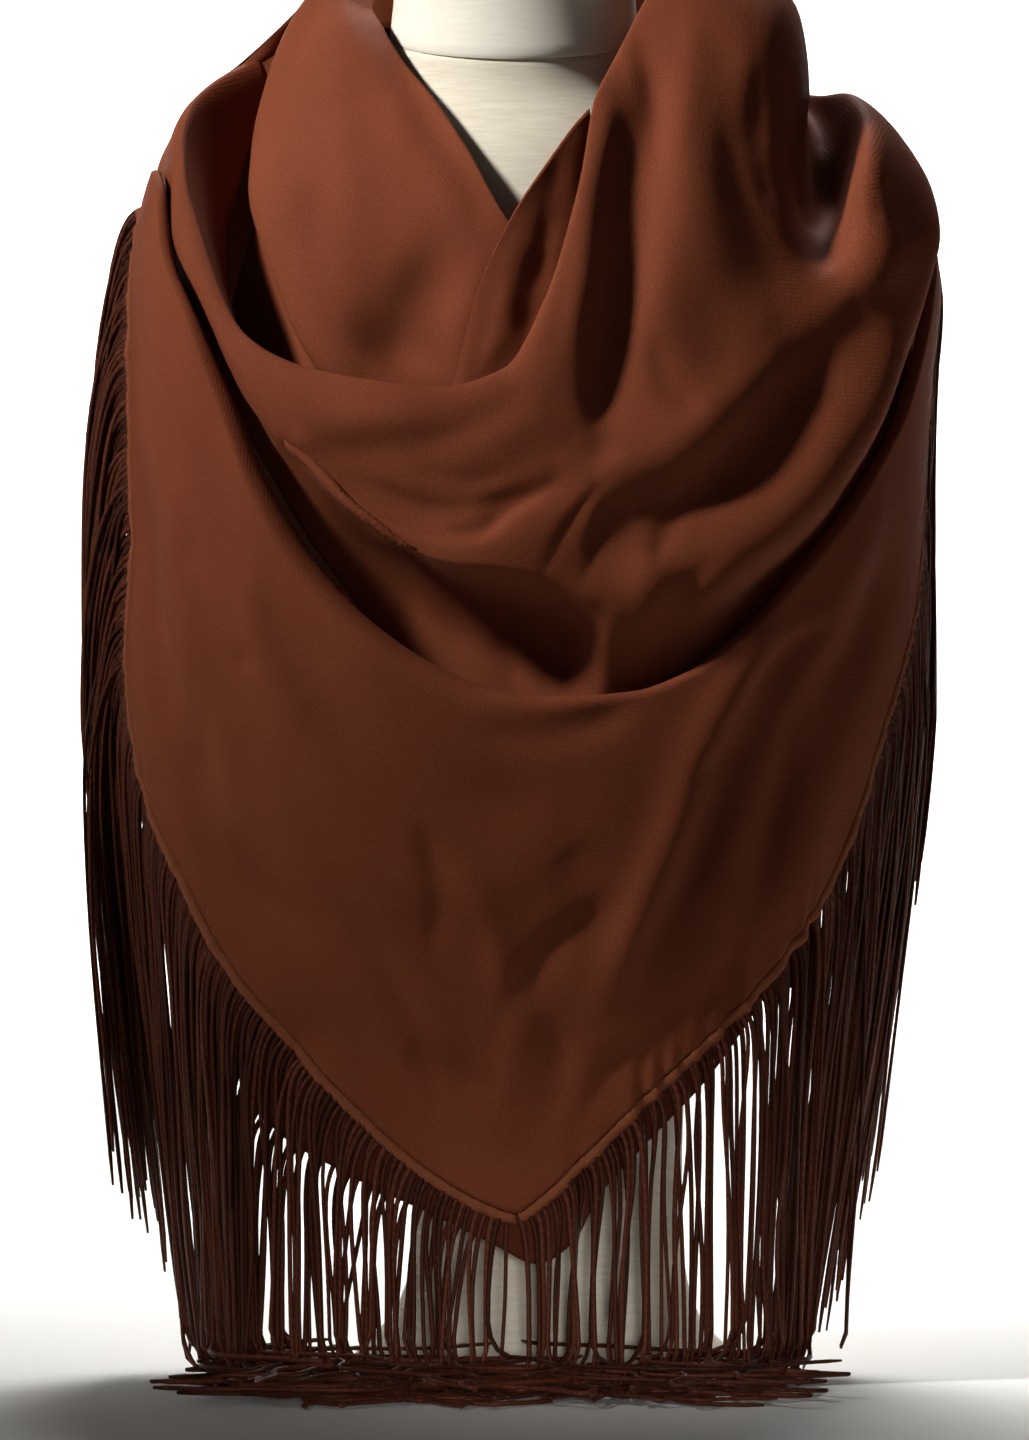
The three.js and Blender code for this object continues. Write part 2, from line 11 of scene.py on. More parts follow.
import bpy
import numpy as np
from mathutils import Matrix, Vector

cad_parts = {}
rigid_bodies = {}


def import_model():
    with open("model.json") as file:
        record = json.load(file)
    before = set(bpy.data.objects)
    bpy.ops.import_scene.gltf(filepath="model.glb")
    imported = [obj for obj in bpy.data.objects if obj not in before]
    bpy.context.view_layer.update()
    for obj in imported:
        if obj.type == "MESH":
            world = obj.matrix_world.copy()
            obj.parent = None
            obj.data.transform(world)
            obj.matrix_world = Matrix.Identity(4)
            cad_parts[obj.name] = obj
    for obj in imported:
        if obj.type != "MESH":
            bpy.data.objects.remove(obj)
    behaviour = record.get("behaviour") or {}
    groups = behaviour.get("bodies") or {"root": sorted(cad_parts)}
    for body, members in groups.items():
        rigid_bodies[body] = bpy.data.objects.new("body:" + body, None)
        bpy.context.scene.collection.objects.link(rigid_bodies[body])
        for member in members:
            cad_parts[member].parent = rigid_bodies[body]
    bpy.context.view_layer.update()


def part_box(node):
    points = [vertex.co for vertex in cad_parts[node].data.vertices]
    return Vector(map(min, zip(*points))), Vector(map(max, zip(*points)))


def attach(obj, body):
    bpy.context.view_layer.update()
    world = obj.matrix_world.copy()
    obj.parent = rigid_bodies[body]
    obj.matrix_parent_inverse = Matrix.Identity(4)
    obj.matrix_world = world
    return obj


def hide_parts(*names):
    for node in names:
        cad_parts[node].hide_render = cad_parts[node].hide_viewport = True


bl_info = {
    "name": "Fringed scarf on a form",
    "version": (1, 0, 0),
    "blender": (4, 5, 0),
    "location": "View3D > Sidebar > Scarf",
    "description": "Makes a fringed satin scarf, draped round a limbless dress form",
    "category": "Add Mesh",
}

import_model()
NECK_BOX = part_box("neck_cap")
# The foot of the neck's axis, in metres.
AXIS = (np.array(NECK_BOX[0]) + np.array(NECK_BOX[1])) / 2 * [1, 1, 0]
# The camera's distance and height, and how far forward of the axis its scale holds, in mm.
EYE_AWAY, EYE_HIGH, FRONT = 4500.0, 360.0, 155.0
# The front view's height in dots, its scale, its middle's height and the film's width, in mm but for the dots.
DOTS_HIGH, MM_PER_DOT, FRAME_MIDDLE, FILM = 1440, 0.49, 329.3, 36
ENDS = 99.7  # angle at which the front and the back stretches meet
FALL_ENDS, FALL_TURNS = 92, 70  # angles at which the front fall ends, and turns to the side
NECK_TILT = 0.22  # the neck seam drops towards the front
SEAM_DIP = 0.8  # mm by which the linen dips to the neck seam
SQUARENESS = 2.2  # exponent of the drape's rounded plan
FOLD_REACH, LINE_POINTS = 4, 40  # half widths that a fold or crease reaches, and points along a crease
FLANK = (80, 150)  # mm from the middle, over which the front's fringe turns to the flanks'
FRINGE_PARTS = 78  # angle at which the front fringe ends and the side fringe starts
LEAN_BELOW = 330  # height below which the strands at the sides lean in, in mm
FRINGE_FRONT, FRINGE_SIDE = -262.0, 178.0  # as far forward and to the sides as a strand lies
LAID_STEP = 8  # mm from point to point of a strand that lies on the table
FALL_ROWS, ROLL_ROWS = 92, 5  # rows of points up the front fall, and of its roll that take creases
COWL_STATIONS, BACK_STATIONS = 220, 110  # stations round the two parts of the wrap
MM_PER_DEGREE = 2.4  # scale of the back's plan, by angle and height
# The floor and the backdrop that rises from it, in metres.
FLOOR_SIDE, BACKDROP_HIGH, BACKDROP_BEND = 24, 8, 3.0

# Lights: name, place and diameter in metres, power in watts, spread in degrees, and what it is aimed at.
WORLD = 0.03
LIGHTS = (
    ("key", (-3.3, -1.4, 3.4), 0.6, 1.85, 11, (0.03, 0, 0.60)),
    ("low_front", (0.1, -3.0, 0.2), 0.3, 0.15, 8, (0, 0, -0.04)),
    ("backdrop_left", (-3.5, 8.0, 4.5), 2.0, 300, 120, (-1.5, 12, 0.5)),
    ("backdrop_right", (3.5, 8.0, 4.5), 2.0, 300, 120, (1.5, 12, 0.5)),
    ("floor_near", (0.2, 1.7, 2.6), 1.0, 26, 90, (0.1, 0.9, 0.0)),
    ("floor_far", (0.0, 4.8, 3.6), 2.5, 150, 120, (0.0, 5.2, 0.0)),
)

# The flat cut of each sheet: width, length and area, in metres and square metres.
SHEETS = {
    "front_fall_satin": (0.835, 0.416, 0.14),
    "wrap_satin": (1.11, 0.30, 0.25),
    "collar_under_satin": (0.31, 0.18, 0.045),
    "collar_over_satin": (0.14, 0.14, 0.012),
    "second_layer_satin": (0.46, 0.14, 0.045),
}
TRIMS = {
    "front_fall_satin": (
        "hem_left_roll", "hem_right_roll", "fringe_front_left_yarn", "fringe_front_right_yarn",
        "fringe_side_left_yarn", "fringe_side_right_yarn",
    ),
    "wrap_satin": ("hem_back_roll", "fringe_back_yarn"),
    "second_layer_satin": ("fringe_inner_yarn",),
}


def table(names, *rows):
    """A table of numbers as its named columns."""
    return {name: np.array(column, float) for name, column in zip(names.split(), zip(*rows))}


# ---------------------------------------------------------------- tables, in mm and degrees
# The form: half width, reach to the front and to the back, and how far it stands to the side, at each height.
FORM = table(
    "z width front back shift",
    (0, 97, 80, 80, 15), (7, 96, 79, 79, 15), (15, 88, 72, 72, 15), (30, 76, 62, 62, 16),
    (56, 69, 57, 57, 17), (92, 67, 55, 55, 18), (135, 70, 57, 57, 16), (185, 86, 68, 66, 12),
    (240, 110, 84, 80, 8), (300, 122, 90, 82, 5), (360, 134, 98, 88, 2), (430, 146, 106, 94, 0),
    (500, 150, 104, 96, 0), (545, 145, 98, 92, 0), (576, 135, 92, 86, 0), (596, 126, 86, 80, 0),
    (613, 108, 80, 74, 0), (629, 90, 73, 68, 0), (645, 76, 67, 64, 0), (659, 67, 63, 62, 0), (673, 64, 62, 62, 0),
)

# The neck above the neck seam.
NECK = table(
    "z radius",
    (673, 63.6), (697, 61), (722, 60), (745, 58.5), (753, 54), (757, 44),
)

# The outside of the hanging cloth: reach to each side, to the front and to the back.
DRAPE = table(
    "z left right front back",
    (40, 184, 182, 140, 100), (140, 192, 190, 146, 102), (240, 199, 198, 152, 104), (344, 200, 207, 156, 108),
    (440, 197, 209, 158, 114), (500, 195, 212, 156, 118), (545, 195, 216, 148, 120),
    (575, 192, 213, 136, 118), (602, 186, 203, 118, 112), (618, 178, 194, 106, 104),
    (633, 168, 180, 98, 98), (650, 154, 160, 92, 92),
)

# The hem's height round the body: its point is at the front, its highest run over the shoulder.
HEM = table(
    "phi z",
    (-92, 592), (-90, 583), (-88, 562), (-86, 528), (-84, 486), (-81, 412), (-78, 350), (-74, 319),
    (-69, 284), (-61, 249), (-48, 196), (-32.7, 147), (-16, 107), (-4, 90), (0, 87), (4, 93), (12, 112),
    (23.5, 142), (40, 186), (51.5, 225), (62.5, 289), (66.2, 322), (72.7, 362), (78, 392), (81, 422),
    (84, 470), (86, 504), (88, 534), (90, 552), (92, 562),
)

# The front fall's own upper rim: height, radius of its roll, drop of the tail inside it.
FRONT_RIM = table(
    "phi z roll tail",
    (-92, 608, 3, 26), (-86, 607, 3, 38), (-79, 600, 3, 42), (-69, 560, 3.5, 34), (-61, 530, 4, 28),
    (-53, 488, 6, 26), (-46, 446, 8, 26), (-37, 406, 10, 28), (-27, 377, 11, 30), (-15, 356, 12, 30),
    (-3, 344, 10, 28), (8, 341, 7, 26), (22, 344, 4.5, 24), (31, 353, 4, 22), (41, 376, 4, 20),
    (52, 410, 4, 20), (64, 453, 4, 24), (71, 480, 3.5, 34), (77, 514, 3.5, 44), (81, 546, 3, 48),
    (86, 568, 3, 40), (92, 582, 3, 30),
)

# The cowl: radius and height of its crest, face, dip, ridge, bulge, low point and end,
# with the tuck and drop of the tail behind the crest.
COWL = table(
    "phi tuck drop crest crestZ face faceZ dip dipZ ridge ridgeZ bulge bulgeZ low lowZ end endZ",
    (-99.7, -6, 12, 132, 664, 142, 662, 154, 653, 166, 641, 178, 625, 184.5, 612, 187, 600),
    (-92, -14, 36, 150, 653, 158, 649, 165, 641, 171, 631, 176, 620, 178, 608, 177, 597),
    (-86, -21, 48, 163, 640, 168, 636, 172, 629, 175, 620, 176.5, 610, 176.5, 598, 176, 586),
    (-79, -22, 50, 170, 619, 174, 615, 176, 607, 176.5, 598, 176.5, 588, 176, 576, 175, 562),
    (-70, -20, 46, 172, 588, 177, 584, 180, 577, 181, 568, 180, 558, 178, 545, 175, 530),
    (-61, -16, 34, 172, 554, 177, 552, 179, 545, 179, 538, 176, 528, 172, 512, 167, 492),
    (-52, -13, 30, 172, 522, 176, 517, 178, 509, 175, 498, 168, 484, 160, 464, 152, 440),
    (-40, -12, 28, 165, 504, 172, 496, 173, 478, 173, 464, 167, 448, 148, 420, 138, 392),
    (-28, -12, 28, 158, 497, 166, 482, 163, 452, 168, 438, 166, 420, 138, 388, 128, 352),
    (-14, -12, 28, 151, 493, 159, 475, 156, 438, 161, 424, 160, 404, 132, 372, 122, 338),
    (-2, -11, 28, 147, 502, 156, 480, 155, 442, 161, 428, 161, 400, 132, 364, 123, 330),
    (6, -8, 28, 140, 536, 153, 496, 156, 448, 161, 428, 161, 394, 138, 358, 127, 325),
    (14, 0, 30, 125, 585, 147, 526, 158, 460, 163, 424, 162, 384, 145, 354, 135, 322),
    (24, 8, 28, 99, 637, 135, 575, 157, 490, 167, 436, 168, 388, 152, 357, 143, 326),
    (36, 10, 28, 86, 660, 128, 606, 156, 520, 172, 460, 179, 406, 163, 376, 153, 348),
    (50, 6, 30, 82, 686, 128, 634, 160, 545, 184, 486, 193, 434, 176, 408, 166, 380),
    (62, -4, 32, 88, 706, 134, 664, 163, 572, 190, 536, 207, 482, 189, 446, 185, 418),
    (72, -10, 34, 92, 714, 138, 682, 162, 580, 186, 606, 213, 536, 196, 484, 193, 456),
    (80, -12, 36, 95, 717, 140, 690, 160, 590, 180, 630, 218, 566, 203, 536, 202, 506),
    (87, -13, 37, 95, 718, 141, 693, 156, 618, 173, 642, 212, 596, 203, 569, 201, 550),
    (92, -13, 37, 95, 718, 140, 693, 154, 630, 168, 647, 206, 604, 202, 585, 201, 570),
    (96, -13, 37, 94, 718, 138, 694, 152, 636, 164, 648, 200, 610, 204, 588, 205, 573),
    (99.7, -13, 37, 94, 718, 136, 694, 150, 640, 160, 648, 196, 612, 204, 592, 207, 575),
)

# The stretch round the nape and over the upper back, with the same columns.
BACK = table(
    "phi tuck drop crest crestZ face faceZ dip dipZ ridge ridgeZ bulge bulgeZ low lowZ end endZ",
    (100, -13, 37, 94, 718, 136, 694, 150, 640, 160, 648, 196, 612, 204, 592, 207, 575),
    (122, -12, 36, 90, 720, 116, 700, 126, 656, 138, 650, 172, 592, 180, 562, 180, 535),
    (150, -12, 36, 88, 722, 104, 702, 109, 666, 114, 656, 138, 592, 141, 548, 140, 512),
    (180, -12, 36, 88, 724, 101, 704, 106, 670, 110, 660, 126, 598, 128, 545, 127, 494),
    (210, -12, 36, 88, 722, 103, 702, 108, 667, 114, 657, 136, 594, 141, 552, 140, 516),
    (240, -12, 34, 88, 716, 108, 698, 118, 670, 128, 661, 160, 616, 173, 580, 179, 548),
    (253, -13, 33, 87, 713, 108, 695, 120, 670, 134, 662, 167, 630, 182, 603, 188, 578),
    (260, -13, 32, 86, 712, 108, 694, 122, 671, 138, 663, 168, 639, 184, 612, 187, 600),
)

# The two stretches that cross at the V: fold edge, crown behind it, middle and tucked end.
UNDER = table(
    "phi edge edgeZ crown crownZ mid midZ fold foldZ hollow hollowZ end endZ",
    (-99.7, 72, 694, 86, 713, 106, 696, 122, 664, 121, 646, 154, 500),
    (-90, 72, 690, 86, 710, 108, 692, 126, 650, 123, 632, 154, 498),
    (-76, 72, 684, 90, 690, 118, 652, 137, 614, 131, 594, 143, 500),
    (-68, 72, 679, 91, 680, 121, 638, 144, 592, 131, 568, 140, 496),
    (-60, 73, 672, 92, 668, 124, 622, 148, 572, 128, 550, 137, 492),
    (-45, 77, 658, 96, 642, 130, 582, 149, 517, 135, 497, 135, 476),
    (-30, 85, 642, 104, 614, 128, 547, 138, 486, 135, 473, 135, 460),
    (-15, 99, 616, 111, 588, 122, 522, 127, 482, 127.5, 472, 128, 460),
    (0, 113, 572, 117, 548, 121, 506, 123, 482, 123, 471, 123, 460),
    (14, 116, 542, 118, 520, 120, 494, 121, 480, 121, 470, 121, 460),
)

OVER = table(
    "phi edge edgeZ crown crownZ mid midZ end endZ",
    (-13.5, 130, 494, 131, 484, 132, 474, 132, 462), (-8, 127, 542, 129, 520, 130, 492, 130, 460),
    (0, 120, 580, 124, 558, 128, 512, 129, 460), (8, 108, 603, 116, 577, 124, 532, 128, 460),
    (18, 95, 624, 104, 598, 116, 554, 124, 468), (27, 87, 636, 95, 608, 107, 568, 116, 486),
)

# The second layer of the folded square, where it shows under the front hem.
SECOND = table(
    "phi top bottom inset",
    (-69, 350, 262, 6), (-60, 320, 190, 7), (-51, 290, 130, 8), (-34, 230, 104, 8), (-16, 190, 84, 8),
    (-4, 170, 70, 8), (4.8, 165, 61, 8), (13, 175, 73, 8), (17, 185, 92, 8), (26, 220, 118, 8),
    (38, 255, 152, 7), (49, 290, 196, 6),
)

# Large folds: three points in the front view, half width and lift. A trough has a negative lift.
FOLDS = table(
    "x0 z0 x1 z1 x2 z2 wide lift",
    (-183, 396, -177, 366, -172, 336, 7, -4), (-159, 318, -156, 262, -100, 212, 10, -5),
    (120, 366, 84, 280, 44, 190, 8, 3.2), (134, 352, 97, 272, 58, 186, 9, -3.4),
    (150, 330, 134, 272, 122, 226, 9, 2.4), (-104, 462, -38, 418, 16, 440, 8, -5),
    (205, 557, 122, 447, 34, 408, 13, -8), (56, 636, 66, 560, 60, 474, 11, -6),
    (150, 556, 104, 480, 66, 420, 13, 4),
)

# Creases, listed one by one: half width, lift, lean and the points they run through in the front view.
FRONT_CREASES = (
    (9, -3, 0.2, (22, 266), (34, 251), (42, 231), (37, 207)),
    (8, -4.1, 0.2, (-56, 163), (-32, 155), (-7, 143)),
    (5, -3.2, 0.3, (86, 192), (71, 177), (61, 155)),
    (5, -3.5, 0.3, (61, 172), (46, 158), (37, 138)),
    (4, -2.2, 0.3, (110, 217), (98, 199), (91, 182)),
    (7, -3.2, 0.2, (-129, 187), (-105, 172), (-91, 157)),
    (5, -3.5, 0.5, (158, 378), (134, 362), (121, 344), (112, 328), (104, 311), (90, 299)),
    (9, 4.1, 0.2, (125, 368), (103, 339), (91, 310), (81, 275), (66, 241), (48, 199)),
    (6, -3.8, -0.4, (114, 333), (101, 305), (91, 266), (77, 239), (61, 209)),
    (8, -5, 0.2, (169, 368), (150, 339), (138, 305), (125, 261), (116, 229)),
    (7, 3.5, 0, (162, 319), (150, 290), (140, 251), (135, 226)),
    (4, -1.6, 0.3, (140, 339), (134, 317), (130, 290), (124, 251)),
    (6, -6, 0.3, (-186, 466), (-184, 427), (-181, 388), (-175, 354), (-171, 329)),
    (9, 3, 0, (-162, 452), (-165, 417), (-162, 378), (-156, 344)),
    (13, -6.5, 0.1, (-164, 322), (-162, 290), (-152, 261), (-124, 239), (-86, 217)),
    (6, 2.4, 0, (-147, 319), (-144, 290), (-130, 261), (-105, 239)),
    (3.2, -1.2, 0.5, (-129, 365), (-132, 360), (-136, 353)),
    (3.5, -1, 0.3, (-155, 417), (-159, 408), (-164, 398)),
    (14, -3.5, 0, (-105, 339), (-66, 310), (-22, 290), (22, 290)),
    (12, 3, 0, (-115, 300), (-76, 266), (-32, 246), (12, 251)),
    (6, -3.5, 0.4, (48, 241), (25, 224), (2, 199), (-8, 172)),
    (5, -2.7, 0.3, (-47, 280), (-37, 251), (-39, 217)),
    (6, 3, 0.2, (-22, 251), (-7, 212), (-1, 172), (-4, 138)),
    (6, -3.2, -0.3, (15, 187), (22, 163), (16, 133)),
    (6, -2.7, 0, (61, 339), (42, 329), (15, 322), (-17, 322)),
    (5, -1.9, 0.2, (179, 408), (172, 378), (158, 344), (147, 310)),
    (7, -2.4, 0, (191, 471), (185, 427), (176, 388), (165, 349)),
    (6, 2.4, 0, (184, 447), (175, 417), (162, 388), (146, 366)),
    (5, -2.7, 0.2, (-91, 241), (-66, 212), (-47, 172), (-37, 143)),
    (5, 2.4, 0.2, (-130, 408), (-124, 368), (-105, 329)),
)
COWL_CREASES = (
    (9, -5.5, 0.1, (151, 637), (150, 613), (149, 589), (153, 562), (160, 550)),
    (6, -3, 0.3, (61, 667), (69, 628), (66, 584), (61, 535)),
    (5, -3, 0.2, (120, 653), (122, 613), (127, 579)),
    (4.2, -5, 0.5, (-112, 464), (-105, 456), (-89, 445), (-72, 438), (-47, 428), (-30, 423), (-16, 424),
     (-6, 432), (5, 438), (18, 445)),
    (6, 2.4, 0, (-91, 456), (-61, 446), (-32, 437), (-7, 440), (22, 454)),
    (8, -3, 0.3, (-83, 464), (-63, 466), (-47, 467), (-30, 472), (-7, 481), (15, 488)),
    (7, 2, 0, (-130, 490), (-105, 477), (-76, 474), (-42, 479), (-7, 490)),
    (3.5, 1.6, 0.2, (-110, 466), (-103, 465), (-95, 462)),
    (2.2, -1.5, 0.4, (42, 445), (32, 433), (23, 419), (12, 397)),
    (2.4, -1.3, 0.4, (45, 437), (40, 417), (34, 396)),
    (9, -2.2, 0.2, (152, 510), (140, 490), (125, 471), (116, 458), (91, 445), (69, 439), (54, 428),
     (46, 412), (34, 392)),
    (10, 3.2, 0, (120, 500), (101, 480), (81, 464), (56, 452), (40, 444)),
    (13, -5.5, 0, (-124, 463), (-105, 437), (-80, 413), (-47, 391), (-7, 374)),
    (6, -4.6, 0.4, (170, 448), (161, 425), (144, 407), (125, 392), (111, 373), (93, 361)),
    (9, 3.4, 0, (160, 467), (146, 439), (127, 417), (108, 405), (93, 393), (86, 368)),
    (5, -3.2, 0.2, (97, 408), (86, 393), (81, 378), (74, 363), (69, 353)),
    (6, 2.4, 0, (75, 415), (65, 393), (61, 368)),
    (4, -2.2, 0.2, (86, 444), (77, 431), (73, 417), (69, 403)),
    (4.5, -1.6, 0.2, (110, 471), (103, 452), (97, 437)),
    (8, -8, 0.1, (67, 638), (58, 604), (55, 564), (50, 525), (45, 486), (42, 466)),
    (5, 2.6, 0.1, (48, 638), (41, 604), (36, 574), (33, 545), (27, 515)),
    (5, -2, 0.2, (69, 520), (75, 496), (91, 476)),
    (10, 2.2, 0, (92, 609), (93, 574), (105, 535), (125, 515)),
    (6, -1.8, 0.2, (61, 672), (69, 638), (73, 604)),
    (7, -2, 0.1, (100, 672), (109, 628), (111, 589), (120, 560)),
    (5, 1.6, 0, (86, 677), (86, 643), (79, 613)),
    (4, -2, 0.2, (164, 573), (173, 580), (183, 581)),
    (7, 2.4, 0, (199, 564), (184, 554), (164, 540), (145, 529)),
    (7, -2.2, 0.1, (191, 609), (189, 584), (195, 564)),
    (5, -1.4, 0, (-152, 618), (-156, 584), (-154, 550), (-144, 520)),
    (4, -1.2, 0.2, (22, 471), (37, 462), (51, 457)),
    (4, 1.3, 0.2, (-71, 417), (-47, 408), (-22, 402), (7, 398)),
    (3, -1, 0.2, (-47, 452), (-22, 447), (-2, 449)),
)
UNDER_CREASES = (
    (13, -9, 0.1, (-37, 554), (-51, 530), (-60, 511), (-66, 500)),
    (7, 2.6, 0.1, (-16, 554), (-23, 530), (-29, 503)),
    (6, -3, -0.3, (-60, 662), (-44, 628), (-27, 599), (-14, 568)),
    (12, 2, 0, (-81, 653), (-83, 613), (-80, 574), (-80, 535)),
    (7, -1.6, 0, (-103, 628), (-96, 599), (-95, 564), (-91, 530)),
    (6, 1.2, 0, (-105, 604), (-110, 574), (-105, 545)),
    (7, -1.4, 0.1, (-81, 672), (-75, 638), (-70, 609)),
)
OVER_CREASES = (
    (4, 1.6, 0.1, (-3, 545), (-7, 520), (-15, 501)),
    (5, -2.6, 0.1, (15, 564), (10, 540), (5, 515)),
    (4, -1.4, 0.1, (22, 604), (18, 579), (15, 560)),
)
# The same over the back and the shoulders, by angle and height.
BACK_CREASES = (
    (7, -3.4, 0.2, (112, 668), (130, 640), (150, 616), (168, 604)),
    (9, 2.8, 0, (108, 640), (128, 612), (148, 590), (170, 578)),
    (6, -2.6, 0.3, (118, 598), (136, 576), (156, 560), (176, 552)),
    (7, -3.0, 0.2, (248, 668), (232, 640), (214, 618), (194, 606)),
    (8, 2.4, 0, (252, 640), (236, 606), (216, 584), (196, 574)),
    (6, -2.2, 0.3, (246, 604), (230, 572), (210, 552), (190, 544)),
    (5, -2.0, 0, (172, 690), (176, 650), (180, 610), (178, 560)),
    (5, 1.8, 0, (160, 694), (160, 650), (164, 600)),
    (5, -1.8, 0, (200, 692), (202, 650), (198, 604)),
    (8, -2.2, 0.1, (140, 690), (150, 676), (175, 670), (205, 672), (222, 684)),
    (4, -1.6, 0.2, (150, 566), (158, 540), (160, 516)),
    (4, -1.4, 0.2, (206, 562), (202, 536), (204, 512)),
    (6, 1.8, 0, (126, 560), (132, 540), (130, 528)),
)


# ---------------------------------------------------------------- shapes in numbers
def at(rows, by, column, x):
    """A column of a table at x, by a cubic that never overshoots its rows."""
    xs, ys = rows[by], rows[column]
    h, d = np.diff(xs), np.diff(ys) / np.diff(xs)
    m = np.concatenate([d[:1], np.zeros(len(xs) - 2), d[-1:]])
    same_way = d[:-1] * d[1:] > 0
    wa, wb = 2 * h[1:] + h[:-1], h[1:] + 2 * h[:-1]
    before, after = np.where(same_way, d[:-1], 1), np.where(same_way, d[1:], 1)
    m[1:-1] = np.where(same_way, (wa + wb) / (wa / before + wb / after), 0)
    x = np.clip(x, xs[0], xs[-1])
    i = np.clip(np.searchsorted(xs, x) - 1, 0, len(xs) - 2)
    t = (x - xs[i]) / h[i]
    u = 1 - t
    return (ys[i] * (1 + 2 * t) * u * u + m[i] * h[i] * t * u * u
            + ys[i + 1] * t * t * (3 - 2 * t) - m[i + 1] * h[i] * t * t * u)


def rising(x, low, high):
    """0 below low, 1 above high, and smooth between."""
    t = np.clip((x - low) / (high - low), 0, 1)
    return t * t * (3 - 2 * t)


def run_along(points, axis=0):
    """The distance along points from the first of them."""
    steps = np.linalg.norm(np.diff(points, axis=axis), axis=-1)
    return np.insert(np.cumsum(steps, axis=axis), 0, 0.0, axis=axis)


def polar(phi, r, z):
    """Points at an angle, a radius and a height."""
    a = np.radians(phi)
    return np.stack(np.broadcast_arrays(r * np.sin(a), -r * np.cos(a), z), axis=-1).astype(float)


def side_reach(way, z):
    """The drape's reach to the side that way points to: left below 0, right above."""
    return np.where(way < 0, at(DRAPE, "z", "left", z), at(DRAPE, "z", "right", z))


def drape(phi, z):
    """Radius of the hanging cloth's outside."""
    s, c = np.sin(np.radians(phi)), np.cos(np.radians(phi))
    side = side_reach(s, z)
    deep = np.where(c > 0, at(DRAPE, "z", "front", z), at(DRAPE, "z", "back", z))
    return (np.abs(s / side) ** SQUARENESS + np.abs(c / deep) ** SQUARENESS) ** (-1 / SQUARENESS)


def fold_lines():
    """The large folds as points on the drape, with their half widths and lifts."""
    t = np.linspace(0, 1, 13)
    for x0, z0, x1, z1, x2, z2, wide, lift in zip(*FOLDS.values()):
        x, z = (
            (1 - t) ** 2 * a + 2 * t * (1 - t) * b + t * t * c
            for a, b, c in ((x0, x1, x2), (z0, z1, z2))
        )
        aside = np.minimum(1, np.abs(x / side_reach(x, z)))
        forward = np.maximum(0, 1 - aside**SQUARENESS) ** (1 / SQUARENESS)
        yield np.stack([x, -at(DRAPE, "z", "front", z) * forward, z], axis=1), wide, lift


def off_line(points, line):
    """From points to a line: the squared distance, how far along it, the nearest step and the way from it."""
    step = np.diff(line, axis=0)
    rel = points[:, None] - line[None, :-1]
    along = np.clip((rel * step).sum(axis=2) / np.maximum((step**2).sum(axis=1), 1e-6), 0, 1)
    off = rel - along[..., None] * step[None]
    far = (off**2).sum(axis=2)
    k = far.argmin(axis=1)
    pick = np.arange(len(points)), k
    return far[pick], (k + along[pick]) / len(step), step[k], off[pick]


def folded(points):
    """How far the large folds move the cloth out at each point."""
    out = np.zeros(len(points))
    for line, wide, lift in fold_lines():
        box = np.ptp(line, axis=0) / 2 + FOLD_REACH * wide
        near_by = np.flatnonzero((np.abs(points - line.mean(axis=0)) < box).all(axis=1))
        if len(near_by):
            far, where, _, _ = off_line(points[near_by], line)
            fade = np.sin(np.pi * (0.06 + 0.88 * where)) ** 0.6
            out[near_by] += lift * fade * np.exp(-far / (2 * wide * wide))
    return out


def profile(points, per):
    """Smooth curves through rows of points: stations x named points x 2, with per steps in each span."""
    first, last = 2 * points[:, :1] - points[:, 1:2], 2 * points[:, -1:] - points[:, -2:-1]
    p = np.concatenate([first, points, last], axis=1)
    gaps = np.maximum(((p[:, 1:] - p[:, :-1]) ** 2).sum(axis=2) ** 0.25, 1e-4)[..., None]
    out = []
    for i, steps in enumerate(per):
        a, b, c, d = (p[:, i + k] for k in range(4))
        ga, gb, gc = (gaps[:, i + k] for k in range(3))
        ta = ((b - a) / ga - (c - a) / (ga + gb) + (c - b) / gb) * gb
        tb = ((c - b) / gb - (d - b) / (gb + gc) + (d - c) / gc) * gb
        for t in np.arange(steps) / steps:
            out.append(b + ta * t + (3 * (c - b) - 2 * ta - tb) * t * t + (2 * (b - c) + ta + tb) * t**3)
    out.append(points[:, -1])
    return np.stack(out, axis=1)


def bent(phi, curve, fold=0.0):
    """Profiles (stations x points x 2) turned to their angles, with the large folds in them."""
    a = np.repeat(phi[:, None], curve.shape[1], axis=1)
    if fold:
        flat = polar(a, curve[..., 0], curve[..., 1])
        curve = curve + np.stack([fold * folded(flat.reshape(-1, 3)).reshape(a.shape), 0 * a], axis=2)
    return polar(a, curve[..., 0], curve[..., 1])


def columns(rows, phi, names):
    """A table's named points at each angle, as radius and height."""
    pairs = [[at(rows, "phi", k, phi), at(rows, "phi", k + "Z", phi)] for k in names]
    return np.moveaxis(np.array(pairs), 2, 0)


def normals(grid):
    """The outward direction at each point of a grid."""
    n = np.cross(np.gradient(grid, axis=0), np.gradient(grid, axis=1))
    return n / np.maximum(np.linalg.norm(n, axis=2, keepdims=True), 1e-9)


def seen(points):
    """Where points stand in the front view, at the scale of the scarf's front."""
    s = (EYE_AWAY - FRONT) / (EYE_AWAY + points[..., 1])
    return np.stack([points[..., 0] * s, (points[..., 2] - EYE_HIGH) * s + EYE_HIGH], axis=-1)


def smooth_line(points, count):
    """A curve through points, evenly numbered."""
    p = np.asarray(points, float)
    if len(p) == 2:
        return p[0] + (p[1] - p[0]) * np.linspace(0, 1, count)[:, None]
    steps = max(2, round(count / (len(p) - 1)))
    return profile(p[None], [steps] * (len(p) - 1))[0]


